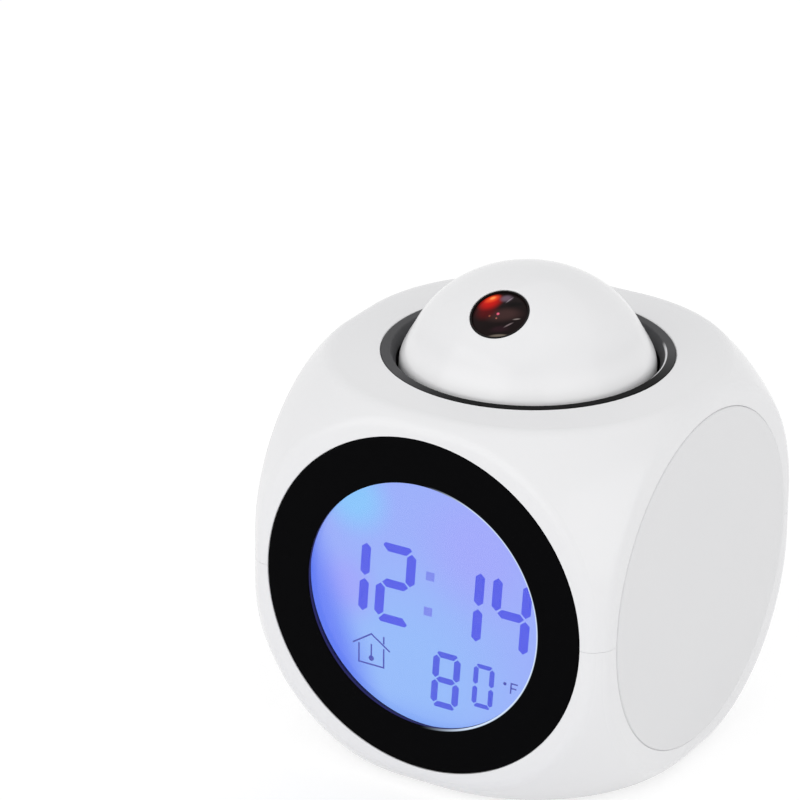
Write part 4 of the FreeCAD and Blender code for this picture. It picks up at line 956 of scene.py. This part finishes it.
def make_stage():
    """A pale floor that shows white and keeps the object's shadow."""
    floor_finish = Finish("studio_floor")
    tone = floor_finish.noise(60.0, 2.0)
    path = floor_finish.node("ShaderNodeLightPath", {}, {})
    seen = path["Is Camera Ray"].larger(path["Is Glossy Ray"]).larger(path["Is Transmission Ray"])
    plain = floor_finish.blend(tone, grey(0.86), grey(0.88))
    paper = floor_finish.shader(
        Base_Color=floor_finish.blend(seen, plain, grey(0.36)), Roughness=0.9,
        Specular_IOR_Level=0.0, Emission_Color=floor_finish.blend(seen, grey(0.13), grey(1.0)),
        Emission_Strength=floor_glow)
    floor_finish.show(paper)
    wide, deep = floor_radius / MM, floor_depth / MM
    outline = [(0, 0), (wide, 0), (wide, -deep), (0, -deep)]
    mesh = turned("studio_floor", [Vector(point) for point in outline], Matrix(), 96)
    mesh.materials.append(floor_finish.material)
    floor = bpy.data.objects.new("studio_floor", mesh)
    bpy.context.scene.collection.objects.link(floor)


def make_world():
    """White to the eye and in gloss and glass, and an even softer light on the object."""
    world = bpy.data.worlds.new("studio")
    sky = Finish("studio", world)
    path = sky.node("ShaderNodeLightPath", {}, {})
    seen = path["Is Camera Ray"].larger(path["Is Transmission Ray"]).larger(path["Is Glossy Ray"])
    sky.show(sky.node("ShaderNodeBackground", {}, {
        "Color": grey(1.0), "Strength": seen * (1.0 - sky_light) + sky_light})[0])
    bpy.context.scene.world = world


def make_lamp(name, at, size, power, aim=(0.0, 0.0, 0.045)):
    data = bpy.data.lights.new(name, "AREA")
    data.shape = "RECTANGLE"
    data.size, data.size_y = size
    data.energy = power
    lamp = bpy.data.objects.new(name, data)
    lamp.location = at
    lamp.rotation_mode = "QUATERNION"
    lamp.rotation_quaternion = (Vector(at) - Vector(aim)).to_track_quat("Z", "Y")
    bpy.context.scene.collection.objects.link(lamp)


def make_camera():
    """The photograph's viewpoint: direction, roll and place, solved for this frame size."""
    azimuth = math.radians(31.153)
    elevation = math.radians(23.84)
    roll = math.radians(0.454)
    back = Vector((math.sin(azimuth) * math.cos(elevation),
                   -math.cos(azimuth) * math.cos(elevation), math.sin(elevation)))
    side = Vector((math.cos(azimuth), math.sin(azimuth), 0))
    up = back.cross(side)
    data = bpy.data.cameras.new("camera")
    data.sensor_width = 36.0
    data.lens = 213.2
    data.clip_start = 0.05
    camera = bpy.data.objects.new("camera", data)
    turn = Matrix((side * math.cos(roll) + up * math.sin(roll),
                   up * math.cos(roll) - side * math.sin(roll), back)).transposed()
    camera.matrix_world = Matrix.Translation((0.4290, -0.7591, 0.4555)) @ turn.to_4x4()
    bpy.context.scene.collection.objects.link(camera)
    bpy.context.scene.camera = camera


bpy.context.scene.view_settings.view_transform = "Standard"
make_camera()
make_stage()
make_world()
make_lamp("front_softbox", (-0.45, -1.05, 0.38), (1.4, 1.1), 4.8)
make_lamp("top_softbox", (0.10, 0.25, 1.0), (1.2, 1.0), 1.3)
make_lamp("side_softbox", (1.0, -0.3, 0.32), (1.0, 1.0), 2.5)

white_case = moulded_gloss("white_case", rgb(233, 233, 234), rgb(230, 230, 232), 0.2)
# The discs' white is painted shade: the case's plastic made a little darker.
disc_white_painted_shade = moulded_gloss("disc_white_painted_shade", rgb(225, 225, 226), rgb(222, 222, 224), 0.3)

make_side_discs(disc_white_painted_shade)
make_front_ring(ring_black("ring_black"))
make_window(clear_glass("window_acrylic", grey(1.0), 1.32))
make_cell(lit_cell("lit_cell"))
make_figures(
    lit_figure("figure_blue", behind_window(89, 98, 234), behind_window(85, 94, 228)),
    lit_figure("small_figure_blue", behind_window(88, 101, 228), behind_window(84, 97, 220)),
    lit_figure("colon_blue", behind_window(130, 142, 238), behind_window(122, 134, 234)))
make_signs(lit_figure("sign_blue", behind_window(82, 90, 186), behind_window(82, 86, 176)))
make_well_ring(collar_black("collar_black"))
make_dome(dome_gloss("dome_gloss"))
make_barrel(barrel_black("barrel_black"))
make_lens(lens_dark("lens_dark"))

black_inside = moulded_matt("black_inside", rgb(20, 20, 22), rgb(30, 30, 32), 0.55)
white_inside = moulded_matt("white_inside", rgb(214, 214, 214), rgb(224, 224, 224), 0.5)
steel = worked_metal("screw_steel", rgb(186, 188, 190), rgb(150, 152, 156), 0.28, 2)
spring = worked_metal("spring_steel", rgb(200, 198, 190), rgb(168, 164, 152), 0.24, 0)

dress(white_case, "upper_shell", "lower_shell", "back_panel", "battery_door")
dress(moulded_gloss("button_grey", rgb(222, 222, 224), rgb(214, 214, 216), 0.3),
      "button_mode", "button_set", "button_up", "button_down")
dress(rubber("foot_rubber", rgb(38, 38, 40), rgb(54, 54, 56)), "rubber_feet")
dress(rubber("pad_rubber", rgb(60, 60, 62), rgb(78, 78, 80)),
      "return_pad", "contact_strip", "speaker_gasket")
# The gasket is dark; its blue tint is painted light from the display.
dress(rubber("gasket_foam_painted_blue", rgb(30, 30, 60), rgb(40, 40, 74)), "window_gasket")
dress(black_inside, "dome_base", "press_carrier", "projector_tray")
dress(white_inside, "lcd_frame")
dress(moulded_matt("switch_black", rgb(24, 24, 26), rgb(34, 34, 36), 0.4),
      "button_switches", "snooze_switch")
dress(moulded_matt("chip_epoxy", rgb(18, 18, 19), rgb(28, 28, 30), 0.5),
      "main_chip", "temperature_sensor")
dress(circuit_board("board_green"), "main_board", "button_board", "snooze_board", "projector_board")
dress(steel, "display_screws", "tray_screws", "case_screws", "board_screws")
dress(spring, "battery_contacts", "retaining_clip")
dress(clear_glass("condenser_glass", rgb(250, 244, 244), 1.52), "condenser_lens")
dress(clear_glass("guide_acrylic", rgb(240, 246, 255)), "backlight_guide")
dress(moulded_matt("cell_wrap", rgb(46, 82, 60), rgb(58, 96, 72), 0.35), "batteries")
dress(worked_metal("speaker_metal", rgb(150, 150, 152), rgb(120, 120, 122), 0.35, 0), "speaker")
dress(lit_figure("slide_red", rgb(120, 20, 16), rgb(90, 14, 12)), "projector_slide")
dress(lit_figure("lamp_red", rgb(255, 70, 40), rgb(255, 50, 30)), "projector_led")
dress(lit_figure("lamp_blue", rgb(150, 180, 255), rgb(140, 170, 255)), "backlight_leds")
